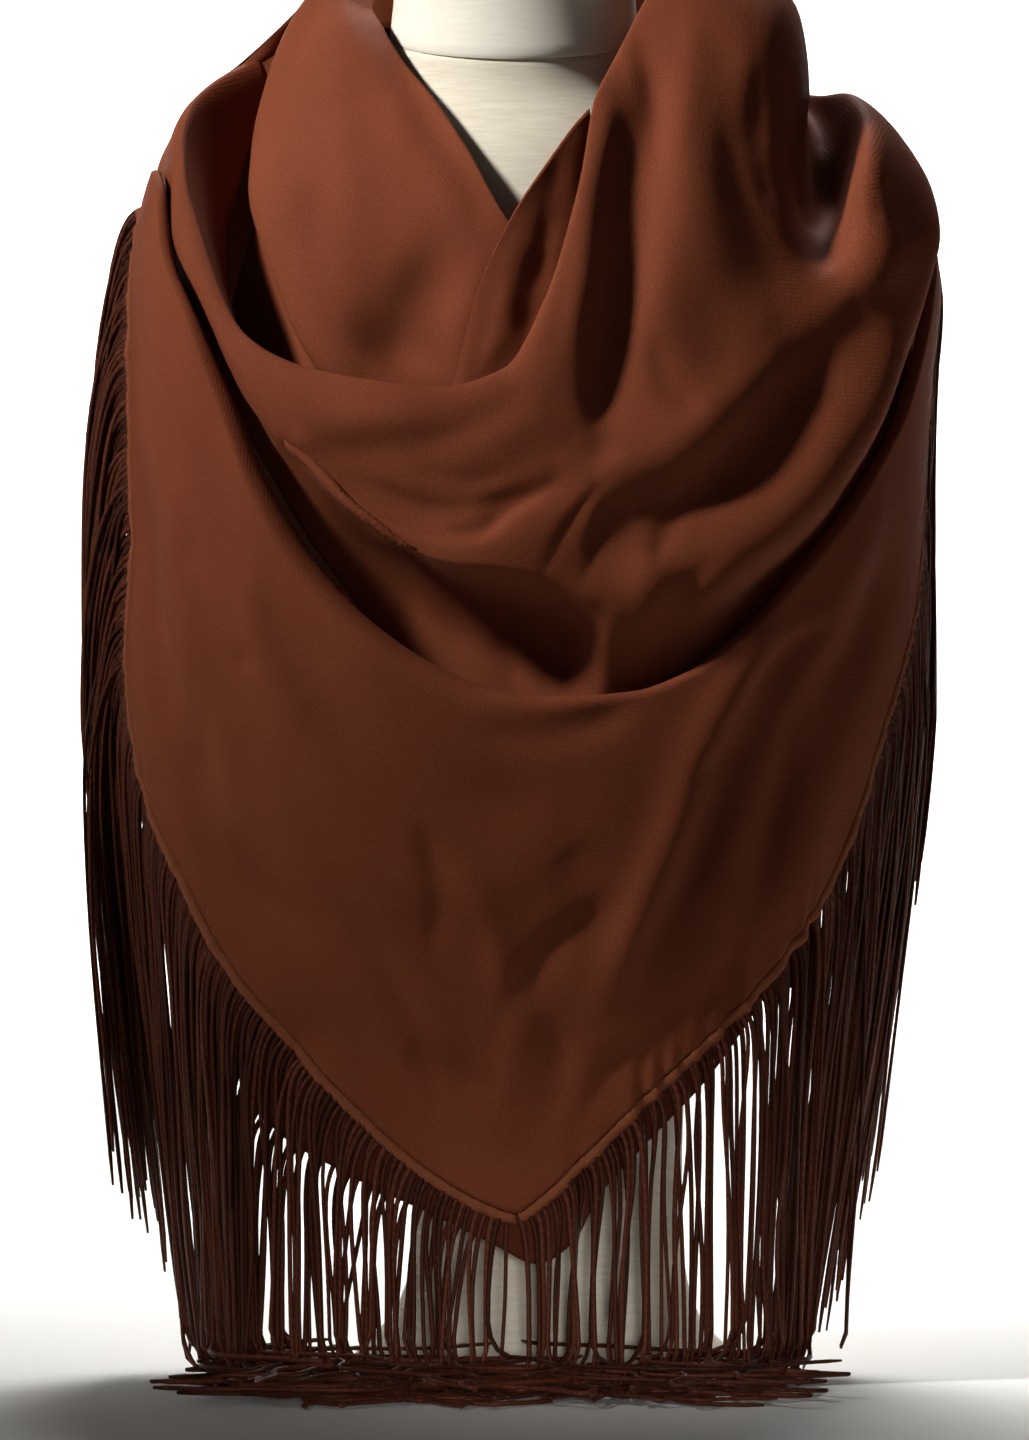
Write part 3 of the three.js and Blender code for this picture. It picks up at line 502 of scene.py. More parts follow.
def creased(grid, creases, rows=slice(None), front=True):
    """The cloth with the listed creases laid in.

    Each has a half width, a lift that is below zero for a trough, a lean from -1 to 1 that makes one side
    steeper, and its points, in the front view or as angle and height.
    """
    face, n = grid[:, rows], normals(grid)[:, rows]
    flat, out = face.reshape(-1, 3), np.zeros(face[..., 0].size)
    # in front, creases die out where the cloth turns away from the viewer
    turned = (0.35 - n.reshape(-1, 3)[:, 1]) / 0.3 if front else np.ones(len(flat))
    turned = np.clip(turned, 0, 1)
    plan = seen(flat)
    if not front:
        angle = np.degrees(np.arctan2(flat[:, 0], -flat[:, 1])) % 360
        plan = np.stack([angle * MM_PER_DEGREE, flat[:, 2]], axis=1)
    for wide, lift, lean, *points in creases:
        line = smooth_line(points if front else [(a * MM_PER_DEGREE, z) for a, z in points], LINE_POINTS)
        reach = FOLD_REACH * wide
        inside = (plan > line.min(axis=0) - reach) & (plan < line.max(axis=0) + reach)
        near_by = np.flatnonzero(inside.all(axis=1) & (turned > 0))
        if not len(near_by):
            continue
        far, where, step, off = off_line(plan[near_by], line)
        side = (step[:, 0] * off[:, 1] - step[:, 1] * off[:, 0]) / (np.linalg.norm(step, axis=1) * wide)
        fade = np.sin(np.pi * np.clip(where, 0.02, 0.98)) ** 0.6 * (1 + 0.2 * np.sin(8 * where + 5 * wide))
        width = wide * (0.75 + 0.4 * np.sin(np.pi * where)) * (1 + 0.45 * lean * np.tanh(side))
        out[near_by] += lift * fade * turned[near_by] * np.exp(-far / (2 * width**2))
    moved = grid.copy()
    moved[:, rows] += (out[:, None] * n.reshape(-1, 3)).reshape(face.shape)
    return moved


def ripple(grid, seed, size, depth, edge=0):
    """A low uneven swell over the cloth, size mm across, that dies out towards its rows' ends."""
    rng = np.random.default_rng(seed)
    waves = rng.normal(0, 1, (9, 3))
    waves /= np.linalg.norm(waves, axis=1, keepdims=True)
    swell = sum(
        np.sin(grid @ (w * 2 * math.pi / (size * rng.uniform(0.6, 1.8))) + rng.uniform(0, 6.3)) for w in waves
    ) / len(waves)
    if edge:
        j = np.arange(grid.shape[1])
        swell = swell * np.minimum(1, np.minimum(j, j[::-1]) / edge)
    return grid + (depth * swell)[..., None] * normals(grid)


# ---------------------------------------------------------------- the cloth's stretches, as grids of points
@functools.lru_cache(None)
def front_cloth():
    """The front fall: from the hem up, over its rolled rim and down inside."""
    phi = np.concatenate([
        np.linspace(-FALL_ENDS, -FALL_TURNS, 34)[:-1],
        np.linspace(-FALL_TURNS, FALL_TURNS, 190),
        np.linspace(FALL_TURNS, FALL_ENDS, 34)[1:],
    ])
    rim = {k: at(FRONT_RIM, "phi", k, phi)[:, None] for k in ("z", "roll", "tail")}
    low, top = at(HEM, "phi", "z", phi)[:, None], rim["z"] - rim["roll"]
    a = np.repeat(phi[:, None], FALL_ROWS, axis=1)
    z = low + (top - low) * np.linspace(0, 1, FALL_ROWS)
    face = bent(phi, np.stack([drape(a, z), z], axis=2), 1)
    edge = np.hypot(face[:, -1:, 0], face[:, -1:, 1])
    turn = np.radians(np.arange(20, 181, 20))
    roll = polar(phi[:, None], edge - rim["roll"] * (1 - np.cos(turn)), top + rim["roll"] * np.sin(turn))
    tail = polar(phi[:, None], edge - 2 * rim["roll"], top - rim["tail"] * np.array([0.25, 0.5, 0.75, 1]))
    grid = np.concatenate([face, roll, tail], axis=1)
    grid = creased(grid, FRONT_CREASES, slice(0, FALL_ROWS + ROLL_ROWS))
    return puckered(ripple(grid, 3, 60, 0.8, 6))


def puckered(grid):
    """Short puckers that run up from the hem, deeper on the wearer's left."""
    edge = grid[:, 0]
    run, up = run_along(edge), run_along(grid, axis=1)
    right = np.clip((edge[:, 0] - 5) / 60, 0, 1)[:, None]
    high = np.clip((260 - edge[:, 2]) / 60, 0, 1)[:, None]
    wave = np.sin(run / 2.9 + 2.4 * np.sin(run / 19)) * (0.6 + 0.4 * np.sin(run / 9.1))
    depth = (0.3 + 1.7 * right * high) * np.exp(-up / (7 + 9 * right))
    return grid + (wave[:, None] * depth)[..., None] * normals(grid)


def tucked_under(grid):
    """The cowl's face turned under along its lower edge, clear of the front fall, in a deep pocket."""
    phi = np.linspace(-ENDS, ENDS, len(grid))[:, None]
    j = np.arange(grid.shape[1])[None]
    start = 34 + 12 * rising(-phi, 14, 34)
    deep = 5 * rising(phi, -84, -66) + 22 * rising(phi, -50, -26)
    push = deep * (1 - rising(phi, 9, 18)) * (1 - rising(j, start - 13, start))
    push = push * (1 - 0.5 * rising(-j, -12, 0))
    reach = np.hypot(grid[..., 0], grid[..., 1])
    return grid * np.stack([1 - push / reach, 1 - push / reach, 1 + 0 * reach], axis=-1)


@functools.lru_cache(None)
def wrap_cloth():
    """The cowl and the stretch round the nape, in one: from the end over the crest and down inside."""
    parts = []
    front, back = np.linspace(-ENDS, ENDS, COWL_STATIONS), np.linspace(100.6, 260, BACK_STATIONS)
    for rows, phi in ((COWL, front), (BACK, back)):
        shape = columns(rows, phi, ("end", "low", "bulge", "ridge", "dip", "face", "crest"))
        tuck, drop = at(rows, "phi", "tuck", phi), at(rows, "phi", "drop", phi)
        tail = shape[:, -1] + np.stack([tuck, -drop], axis=1)
        curve = profile(np.concatenate([shape, tail[:, None]], axis=1), [12, 18, 22, 22, 18, 14, 8])
        parts.append(bent(phi, curve, 1))
    parts[0] = tucked_under(parts[0])
    grid = np.concatenate(parts)
    grid = creased(grid, COWL_CREASES, slice(0, 109))
    grid = creased(grid, BACK_CREASES, slice(0, 106), front=False)
    grid = ripple(grid, 5, 70, 1.0, 5)
    return np.concatenate([grid, grid[:1]])


def crossing(rows, phi, per, creases, seed):
    """A stretch that crosses at the V: from its tucked end up to the fold edge."""
    names = [k for k in ("end", "hollow", "fold", "mid", "crown", "edge") if k in rows]
    grid = bent(phi, profile(columns(rows, phi, names), per))
    return ripple(creased(grid, creases), seed, 55, 0.6, 5)


@functools.lru_cache(None)
def under_cloth():
    """The inner of the two stretches that cross at the V."""
    return crossing(UNDER, np.linspace(-ENDS, 14, 150), [6, 6, 12, 12, 14], UNDER_CREASES, 7)


@functools.lru_cache(None)
def over_cloth():
    """The outer of the two stretches that cross at the V."""
    return crossing(OVER, np.linspace(-13.5, 25, 60), [14, 14, 14], OVER_CREASES, 8)


@functools.lru_cache(None)
def second_cloth():
    """The folded square's second layer, behind the front hem."""
    phi = np.linspace(-80, 58, 150)[:, None]
    low, high, inset = (at(SECOND, "phi", k, phi) for k in ("bottom", "top", "inset"))
    z = low + (high - low) * np.linspace(0, 1, 26)
    back = 2 + 5 * rising(-phi, 25, 45)
    return ripple(polar(phi, drape(phi, z) - inset - back, z), 9, 50, 0.8)


# ---------------------------------------------------------------- meshes
def new_mesh(name, points, faces, uv):
    """A smooth mesh object from points in mm, faces, and each point's place in the map, in metres."""
    mesh = bpy.data.meshes.new(name)
    mesh.from_pydata((points / 1000 + AXIS).tolist(), [], faces)
    layer = mesh.uv_layers.new(name="cloth")
    loops = np.empty(len(mesh.loops), np.int32)
    mesh.loops.foreach_get("vertex_index", loops)
    layer.data.foreach_set("uv", uv[loops].astype(np.float32).ravel())
    mesh.polygons.foreach_set("use_smooth", np.full(len(mesh.polygons), True))
    mesh.update()
    piece = bpy.data.objects.new(name, mesh)
    bpy.context.scene.collection.objects.link(piece)
    return piece


def grid_faces(nu, nv):
    """The four-sided faces of a grid of points."""
    i, j = np.meshgrid(np.arange(nu - 1), np.arange(nv - 1), indexing="ij")
    a, b = i * nv + j, (i + 1) * nv + j
    return np.stack([a, b, b + 1, a + 1], axis=-1).reshape(-1, 4).tolist()


def apply_modifier(piece, kind, **settings):
    """Adds a modifier to a piece and applies it."""
    for other in bpy.context.view_layer.objects:
        other.select_set(False)
    piece.select_set(True)
    bpy.context.view_layer.objects.active = piece
    modifier = piece.modifiers.new(kind.lower(), kind)
    for key, value in settings.items():
        setattr(modifier, key, value)
    bpy.ops.object.modifier_apply(modifier=modifier.name)


def cloth(name, grid, thick):
    """A stretch of cloth, thick mm through, from the grid of its outer face."""
    nu, nv = grid.shape[:2]
    across = np.repeat(run_along(grid).mean(axis=1)[:, None], nv, axis=1)
    uv = np.stack([across, run_along(grid, axis=1)], axis=2).reshape(-1, 2) / 1000
    piece = new_mesh(name, grid.reshape(-1, 3), grid_faces(nu, nv), uv)
    apply_modifier(piece, "SOLIDIFY", thickness=thick / 1000, offset=-1.0, use_rim=True)
    return piece


# ---------------------------------------------------------------- hem and fringe
def hem_edges():
    """The frame of each hem, on the cloth's lower edge."""
    front, wrap = front_cloth(), wrap_cloth()
    half, last = front.shape[0] // 2, COWL_STATIONS - 1
    side = int(round((ENDS - 92.5) / (2 * ENDS) * last))
    back = np.concatenate([wrap[last - side:-1], wrap[:side + 1]])
    return {"left": hem_frame(front[1:half + 1]), "right": hem_frame(front[half:-1]), "back": hem_frame(back)}


def unit(v):
    """Directions of length 1."""
    return v / np.maximum(np.linalg.norm(v, axis=-1, keepdims=True), 1e-9)


def hem_frame(grid):
    """A hem's points, its directions along, out of and down from the cloth, and the distance along it."""
    edge = grid[:, 0]
    along = unit(np.gradient(edge, axis=0))
    out = unit(np.cross(along, grid[:, 2] - edge))
    return {"p": edge, "along": along, "out": out, "down": np.cross(along, out), "run": run_along(edge)}


def on_hem(hem, run):
    """The hem's frame at distances along it."""
    return {k: np.stack([np.interp(run, hem["run"], hem[k][:, i]) for i in range(3)], axis=-1)
            for k in ("p", "along", "out", "down")}


def tube(path, wide, thick, side, sides, start=0):
    """A closed tube round a path. wide and thick are its half sizes along side and across it."""
    t = unit(np.gradient(path, axis=0))
    u = unit(side - t * (t * side).sum(axis=1, keepdims=True))
    w = np.cross(t, u)
    a = 2 * math.pi * np.arange(sides) / sides
    ring = (path[:, None] + (wide[:, None] * np.cos(a))[..., None] * u[:, None]
            + (thick[:, None] * np.sin(a))[..., None] * w[:, None])
    n = len(path)
    i, j = np.meshgrid(np.arange(n - 1), np.arange(sides), indexing="ij")
    p, q = i * sides + j, i * sides + (j + 1) % sides
    faces = (np.stack([p, q, q + sides, p + sides], axis=-1).reshape(-1, 4) + start).tolist()
    faces.append([start + k for k in range(sides)][::-1])
    faces.append([start + (n - 1) * sides + k for k in range(sides)])
    uv = np.stack(np.broadcast_arrays((a / (2 * math.pi))[None], run_along(path)[:, None] / 1000), axis=-1)
    return ring.reshape(-1, 3), faces, uv.reshape(-1, 2)


def rolled_hem(name, hem, sizes, seed):
    """A narrow rolled hem, wavy where its stitches pull."""
    rng = np.random.default_rng(seed)
    run = np.linspace(hem["run"][0] + 0.4, hem["run"][-1] - 0.4, int(hem["run"][-1] / 2.2))
    f = on_hem(hem, run)
    wave = 0.5 * np.sin(run / 1.05 + 1.6 * np.sin(run / 11)) + 0.3 * np.sin(run / 4.3 + rng.uniform(0, 6))
    path = f["p"] + f["down"] * (0.3 + sizes.hem / 2) - f["out"] * (0.9 - 0.25 * wave[:, None])
    wide = np.full(len(run), sizes.hem / 2) * (1 + 0.10 * wave)
    points, faces, uv = tube(path, wide, wide * 0.6 * (1 + 0.12 * wave), f["down"], 10)
    return new_mesh(name, points, faces, uv)


def strand_course(f, i, rng, length, spread, drift, pull, apart, start):
    """One strand of the fringe: out of the hem, over, down under its weight and over the table."""
    p, along, out, down = (f[k][i] for k in ("p", "along", "out", "down"))
    away = unit(p * [1, 1, 0])
    root = p + down * start - out * 0.9
    outwards = 0.16 + 0.5 * spread * rng.uniform(0.0, 1.1)
    leave = unit(down + away * outwards + along * rng.normal(0, 0.04))
    bend = rng.uniform(10, 14) * (1 if p[0] < 0 else 0.5) + 9 * spread * rng.uniform(0.0, 1.2)
    s = np.concatenate([[0, 1.4, 3, 5, 7.5, 10.5, 14.5, 20, 28], np.linspace(38, length, 19)])
    ease = bend * (1 - np.exp(-s / bend))
    path = root + leave * ease[:, None] + np.array([0, 0, -1.0]) * (s - ease)[:, None]
    flat, t = unit(along * [1, 1, 0]), s / length
    gathered, loose = 1 - np.exp(-(s / 60) ** 2), np.minimum(1, s / 40)
    shift = pull * gathered + (drift + rng.normal(0, 2.0)) * t**1.4
    shift += rng.uniform(0.2, 2.4) * np.sin(s / rng.uniform(22, 45) + rng.uniform(0, 6)) * loose
    depth = np.clip(rng.normal(-4 * spread, 1.6 + 5 * spread), -14, 2) * np.minimum(1, s / 90)
    depth -= apart * gathered
    depth += rng.uniform(0.2, 1.2) * np.sin(s / rng.uniform(25, 50) + rng.uniform(0, 6)) * loose
    lean = (38 if p[0] < 0 else 48) * rising(abs(p[0]), 110, 190)
    lean = lean * (np.clip(LEAN_BELOW - path[:, 2], 0, None) / LEAN_BELOW) ** 1.2
    path += flat * shift[:, None] + away * (depth - lean)[:, None]
    low = 1.4 + 10 * rng.random() ** 1.6
    k = int(np.argmax(path[:, 2] < low + 9))
    if path[-1, 2] > low + 9 or k == 0:
        return path
    points, here, left = list(path[:k]), path[k - 1].copy(), length - s[k - 1]
    # over the table it runs forward, and in from the sides, in slack curls
    aim = math.atan2(-1.0 if here[1] < 30 else 1.0, -here[0] / 120)
    heading, curl, phase = aim + rng.normal(0, 0.45), rng.normal(0, 0.09), rng.uniform(0, 6)
    ahead, aside = FRINGE_FRONT + rng.uniform(0, 50), FRINGE_SIDE - rng.uniform(0, 55)
    tilt = -math.pi / 2
    for n in range(int(left / LAID_STEP)):
        tilt = min(0, tilt + 0.4)
        heading += curl + 0.2 * math.sin(n * 0.55 + phase)
        level = math.cos(tilt)
        way = np.array([math.cos(heading) * level, math.sin(heading) * level, math.sin(tilt)])
        here = here + LAID_STEP * way
        here[2] = max(here[2], low + 1.2 * math.sin(n * 0.9 + phase) * min(1, n / 4) * (low > 2.8))
        if here[1] < ahead and math.sin(heading) < 0:
            heading, curl = -heading, -curl
        if abs(here[0]) > aside and here[0] * math.cos(heading) > 0:
            heading, curl = math.pi - heading, -curl
        points.append(here.copy())
    return np.array(points)


def fringe(name, hem, start, stop, gap, sizes, seed, spread=0.0, thicker=0.5, root=4.6, outward=0.0):
    """A row of twisted strands along a hem, in small uneven clumps.

    spread throws them out of line, thicker crowds them at the sides, root is how far below the edge
    they start, and outward how far out they hang, in mm.
    """
    rng = np.random.default_rng(seed)
    fine = np.linspace(max(start, hem["run"][0]), min(stop, hem["run"][-1]), 400)
    wide = np.abs(on_hem(hem, fine)["p"][:, 0])
    gaps = gap * (1 - thicker * rising(wide, *FLANK))
    counted = np.insert(np.cumsum(np.diff(fine) / gaps[1:]), 0, 0.0)
    run = np.interp(np.arange(0.3, counted[-1], 1.0), counted, fine)
    run = run + rng.normal(0, gap * 0.12, len(run))
    f = on_hem(hem, run)
    count, i = len(run), 0
    drift, pull, apart = np.zeros(count), np.zeros(count), np.zeros(count)
    while i < count:
        ids = np.arange(i, min(count, i + int(rng.choice([1, 2, 2, 3, 3, 4, 5]))))
        drift[ids] = rng.normal(0, 5.5) if rng.random() < 0.8 else rng.normal(0, 15)
        close = 1 - rising(abs(f["p"][i, 0]), *FLANK)
        drawn = rng.uniform(0.3, 0.8) * (1 - close) + close * rng.uniform(0.8, 1.0)
        pull[ids] = (run[ids].mean() - run[ids]) * drawn
        apart[ids] = 1.3 * close * rng.permutation(len(ids)) - outward
        i = ids[-1] + 1
    points, faces, uv, total = [], [], [], 0
    for i in range(count):
        length = sizes.fringe * rng.uniform(0.94, 1.03)
        path = strand_course(f, i, rng, length, spread, drift[i], pull[i], apart[i], root)
        s = run_along(path)
        r = sizes.strand / 2 * rng.uniform(0.85, 1.15) * (1 + 0.3 * np.exp(-s / 14))
        # a few strands have a slub
        if rng.random() < 0.05:
            r = r * (1 + 0.9 * np.exp(-(((s - rng.uniform(40, 220)) / 3) ** 2)))
        r[-1] *= 0.6
        p, q, w = tube(path, r, r * 0.86, f["along"][i], 5, total)
        total += len(p)
        points.append(p)
        faces += q
        uv.append(w + [rng.integers(0, 90), 0])
    return new_mesh(name, np.concatenate(points), faces, np.concatenate(uv))


# ---------------------------------------------------------------- finishes
def linear(colour):
    """An sRGB hex colour as linear light."""
    parts = [int(colour[i:i + 2], 16) / 255 for i in (1, 3, 5)]
    return tuple(c / 12.92 if c <= 0.04045 else ((c + 0.055) / 1.055) ** 2.4 for c in parts) + (1.0,)


def add_node(material, kind, inputs=None, **settings):
    """A node with its settings, and its sockets set or linked."""
    tree = material.node_tree
    node = tree.nodes.new("ShaderNode" + kind)
    for key, value in settings.items():
        setattr(node, key, value)
    for key, value in (inputs or {}).items():
        if isinstance(value, bpy.types.NodeSocket):
            tree.links.new(value, node.inputs[key])
        else:
            node.inputs[key].default_value = value
    return node


def new_material(name):
    """An empty finish."""
    material = bpy.data.materials.new(name)
    material.use_nodes = True
    material.node_tree.nodes.clear()
    return material


def finish_material(material, looks):
    """Closes a finish with a surface of these looks."""
    shader = add_node(material, "BsdfPrincipled", looks)
    add_node(material, "OutputMaterial", {"Surface": shader.outputs[0]})
    return material


def bands(material, vector, spacing_mm, direction, distortion):
    """Even ridges, spacing_mm apart, across one direction of a map in metres."""
    scale = 0.31416 / (spacing_mm / 1000)
    return add_node(material, "TexWave", {"Vector": vector, "Scale": scale, "Distortion": distortion,
                                          "Detail": 1.0, "Detail Scale": 2.0},
                    wave_type="BANDS", bands_direction=direction).outputs["Fac"]


def noise(material, vector, scale, detail):
    """Soft spots over a map, from 0 to 1."""
    return add_node(material, "TexNoise", {"Vector": vector, "Scale": scale, "Detail": detail}).outputs["Fac"]


def mapped(material, vector, **settings):
    """A map that is turned or stretched."""
    inputs = {key.title(): value for key, value in settings.items()}
    return add_node(material, "Mapping", {"Vector": vector, **inputs}).outputs[0]


def joined(material, operation, first, second):
    """Two values, added or multiplied."""
    return add_node(material, "Math", {0: first, 1: second}, operation=operation).outputs[0]


def share(material, value, most, low=0.0, high=1.0):
    """A value between low and high, as 0 to most."""
    return add_node(material, "MapRange", {"Value": value, "From Min": low, "From Max": high,
                                           "To Min": 0.0, "To Max": most}).outputs[0]


def blend(material, factor, first, second):
    """One colour that turns to another by a factor."""
    return add_node(material, "Mix", {"Factor": factor, 6: first, 7: second}, data_type="RGBA").outputs[2]


def relief(material, height, strength, deep):
    """Bumps of a height map, up to deep metres."""
    return add_node(material, "Bump", {"Height": height, "Strength": strength, "Distance": deep}).outputs[0]


def brown_satin(name, light, dark):
    """Polyester satin, piece-dyed: a smooth warp face that gives a wide soft gloss along each fold."""
    m, light, dark = new_material(name), linear(light), linear(dark)
    uv = add_node(m, "UVMap", uv_map="cloth").outputs[0]
    turned = mapped(m, uv, rotation=(0, 0, math.radians(45)))
    # the threads are 0.3 mm apart, drawn 1.1 mm apart so that they show; they run along the hems
    weave = joined(m, "MULTIPLY", bands(m, turned, 1.1, "X", 1.5), bands(m, turned, 1.7, "Y", 1.0))
    slub = noise(m, mapped(m, turned, scale=(900, 60, 1)), 1.0, 2.0)
    cloud, grain = noise(m, uv, 14.0, 3.0), noise(m, uv, 750.0, 1.0)
    tone = blend(m, cloud, light, dark)
    spotted = blend(m, share(m, grain, 0.3, 0.35, 0.65), tone, linear("#3a1a10"))
    height = joined(m, "ADD", joined(m, "ADD", weave, slub), grain)
    return finish_material(m, {
        "Base Color": blend(m, share(m, slub, 0.35), spotted, dark), "Roughness": 0.68,
        "Specular IOR Level": 0.09, "Specular Tint": linear("#e8a988"), "Sheen Weight": 0.07,
        "Sheen Roughness": 0.35, "Sheen Tint": linear("#c07a58"), "Normal": relief(m, height, 0.6, 0.00018)})


def silky_yarn(name, light, dark):
    """Slack twisted viscose yarn: round, with a soft gloss that the twist breaks up."""
    m, light, dark = new_material(name), linear(light), linear(dark)
    uv = add_node(m, "UVMap", uv_map="cloth").outputs[0]
    # one turn of the twist every 5 mm
    scaled = mapped(m, uv, scale=(1.0, 200.0, 1.0))
    twist = add_node(m, "TexWave", {"Vector": scaled, "Scale": 0.62, "Distortion": 0.4},
                     wave_type="BANDS", bands_direction="DIAGONAL").outputs["Fac"]
    # each strand has its own tone, by the whole number in its map
    across = add_node(m, "SeparateXYZ", {"Vector": uv}).outputs[0]
    strand = add_node(m, "Math", {0: across}, operation="FLOOR")
    own = add_node(m, "TexWhiteNoise", {"W": strand.outputs[0]}, noise_dimensions="1D").outputs["Value"]
    tone = blend(m, own, light, dark)
    return finish_material(m, {
        "Base Color": blend(m, share(m, twist, 0.4), tone, dark), "Roughness": 0.5, "Specular IOR Level": 0.3,
        "Specular Tint": linear("#e8a988"), "Sheen Weight": 0.08, "Sheen Roughness": 0.4,
        "Sheen Tint": linear("#c07a58"), "Normal": relief(m, twist, 0.5, 0.0004)})


def linen(name, light, dark, spacing_mm, strength):
    """Unbleached linen, plain woven: matt, with uneven threads that show as a fine grid."""
    m = new_material(name)
    place = add_node(m, "TexCoord").outputs["Object"]
    warp, weft = (bands(m, place, spacing_mm, direction, 0.8) for direction in "XZ")
    weave = joined(m, "MULTIPLY", warp, weft)
    fleck = noise(m, mapped(m, place, scale=(60, 60, 700)), 1.0, 3.0)
    return finish_material(m, {
        "Base Color": blend(m, fleck, linear(light), linear(dark)), "Roughness": 0.85, "IOR": 1.5,
        "Sheen Weight": 0.15, "Sheen Roughness": 0.6,
        "Normal": relief(m, joined(m, "ADD", weave, fleck), strength, 0.0002)})


def matt_floor(name, colour):
    """Matt white paper board: no pattern, no gloss."""
    m = new_material(name)
    grain = noise(m, add_node(m, "TexCoord").outputs["Object"], 900.0, 2.0)
    return finish_material(m, {
        "Base Color": linear(colour), "Roughness": 0.9, "Normal": relief(m, grain, 0.1, 0.0001)})


def dress(piece, material, slot, *nodes):
    """Gives a piece its finish and its body, and hides the nodes that it stands for; slot is not used."""
    piece.data.materials.clear()
    piece.data.materials.append(material)
    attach(piece, "root")
    if nodes:
        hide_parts(*nodes)
    return piece


# ---------------------------------------------------------------- what a user may change
def length(name, description, default, low, high):
    """A length that a user may change, in millimetres."""
    return bpy.props.FloatProperty(
        name=name, description=description + ", mm", default=default, min=low, max=high)


def colour(name, description, default):
    """A colour that a user may change, as sRGB hex."""
    return bpy.props.StringProperty(name=name, description=description, default=default)


class ScarfSizes(bpy.types.PropertyGroup):
    """Sizes of the scarf, in millimetres."""

    cloth: length("Cloth", "Thickness of the doubled satin", 1.8, 1, 3)
    hem: length("Hem", "Width of the rolled hem", 5.6, 2, 8)
    fringe: length("Fringe", "Length of a strand", 300, 50, 400)
    strand: length("Strand", "Thickness of a strand", 2.4, 1, 4)
    gap: length("Strand spacing", "From strand to strand along the hem", 3.8, 2, 12)


class ScarfColours(bpy.types.PropertyGroup):
    """Colours of the scarf and the form, as sRGB hex."""

    satin: colour("Satin", "Colour of the satin where it is lit", "#8a4a30")
    shade: colour("Satin, deeper", "The satin's darker tone", "#6c3522")
    yarn: colour("Yarn", "Colour of the fringe", "#5f3021")
    yarn_shade: colour("Yarn, deeper", "The fringe's darker tone", "#2a120b")
    linen: colour("Linen", "Colour of the form's linen", "#efe6d4")
    floor: colour("Floor", "Colour of the table top", "#f0eeea")


# ---------------------------------------------------------------- one operator for each group of pieces
def turned_block(name, heights, section, segments=96):
    """An upright closed body: a cylinder cut into rings at the heights, each ring set to its section."""
    bpy.ops.object.select_all(action="DESELECT")
    low, high = heights[0] / 1000, heights[-1] / 1000
    middle = (0, 0, (low + high) / 2)
    bpy.ops.mesh.primitive_cylinder_add(vertices=segments, radius=1, depth=high - low, location=middle)
    piece = bpy.context.object
    piece.name = piece.data.name = name
    bpy.ops.object.transform_apply(location=True, rotation=True, scale=True)
    bpy.ops.object.mode_set(mode="EDIT")
    for z in heights[1:-1]:
        bpy.ops.mesh.select_all(action="SELECT")
        bpy.ops.mesh.bisect(plane_co=(0, 0, z / 1000), plane_no=(0, 0, 1))
    bpy.ops.object.mode_set(mode="OBJECT")
    for v in piece.data.vertices:
        v.co = Vector(section(math.atan2(v.co.y, v.co.x), v.co.z * 1000) / 1000 + AXIS)
    bpy.ops.object.shade_smooth_by_angle(angle=math.radians(38))
    return piece


def measure(rows, column, z):
    """One number of a table, at a height."""
    return float(at(rows, "z", column, np.array([z]))[0])


class SCARF_OT_form(bpy.types.Operator):
    """Make the linen dress form and the neck above its seam"""

    bl_idname = "scarf.form"
    bl_label = "Dress form"

    def execute(self, context):
        colours = context.scene.scarf_colours

        def bust(a, z):
            width, front, back, shift = (measure(FORM, k, z) for k in ("width", "front", "back", "shift"))
            # the padding gives under the cloth, at the shoulders and in front
            width -= 14 * rising(z, 460, 510) * (1 - rising(z, 600, 650))
            front -= 12 * rising(z, 320, 360) * (1 - rising(z, 440, 500))
            seam = SEAM_DIP * rising(z, 671.2, 673)
            y = math.sin(a) * ((front if math.sin(a) < 0 else back) - seam)
            x = math.cos(a) * (width - seam) + shift
            return np.array([x, y, z + NECK_TILT * rising(z, 613, 673) * y])

        def cap(a, z):
            r = measure(NECK, "radius", z) - SEAM_DIP * (1 - rising(z, 673.2, 675.2))
            y = math.sin(a) * r
            return np.array([math.cos(a) * r, y, z + NECK_TILT * (1 - rising(z, 697, 753)) * y])

        heights = [0, 2, 7, 11, 15, 20, 26] + list(np.arange(34, 660, 9)) + [665, 669, 671.2, 672.2, 673]
        body = turned_block("linen_form", heights, bust)
        heights = [673.3, 674.2, 675.2, 680, 690, 700, 712, 724, 736, 742, 747, 751, 754, 757]
        neck = turned_block("linen_neck", heights, cap)
        cover = linen("plain_woven_linen", colours.linen, "#cdbfa4", 1.0, 0.35)
        close = linen("close_woven_linen", "#f2ebdc", "#e2d8c4", 0.8, 0.2)
        dress(body, cover, "linen", "dress_form")
        dress(neck, close, "neck_linen", "neck_cap")
        return {"FINISHED"}


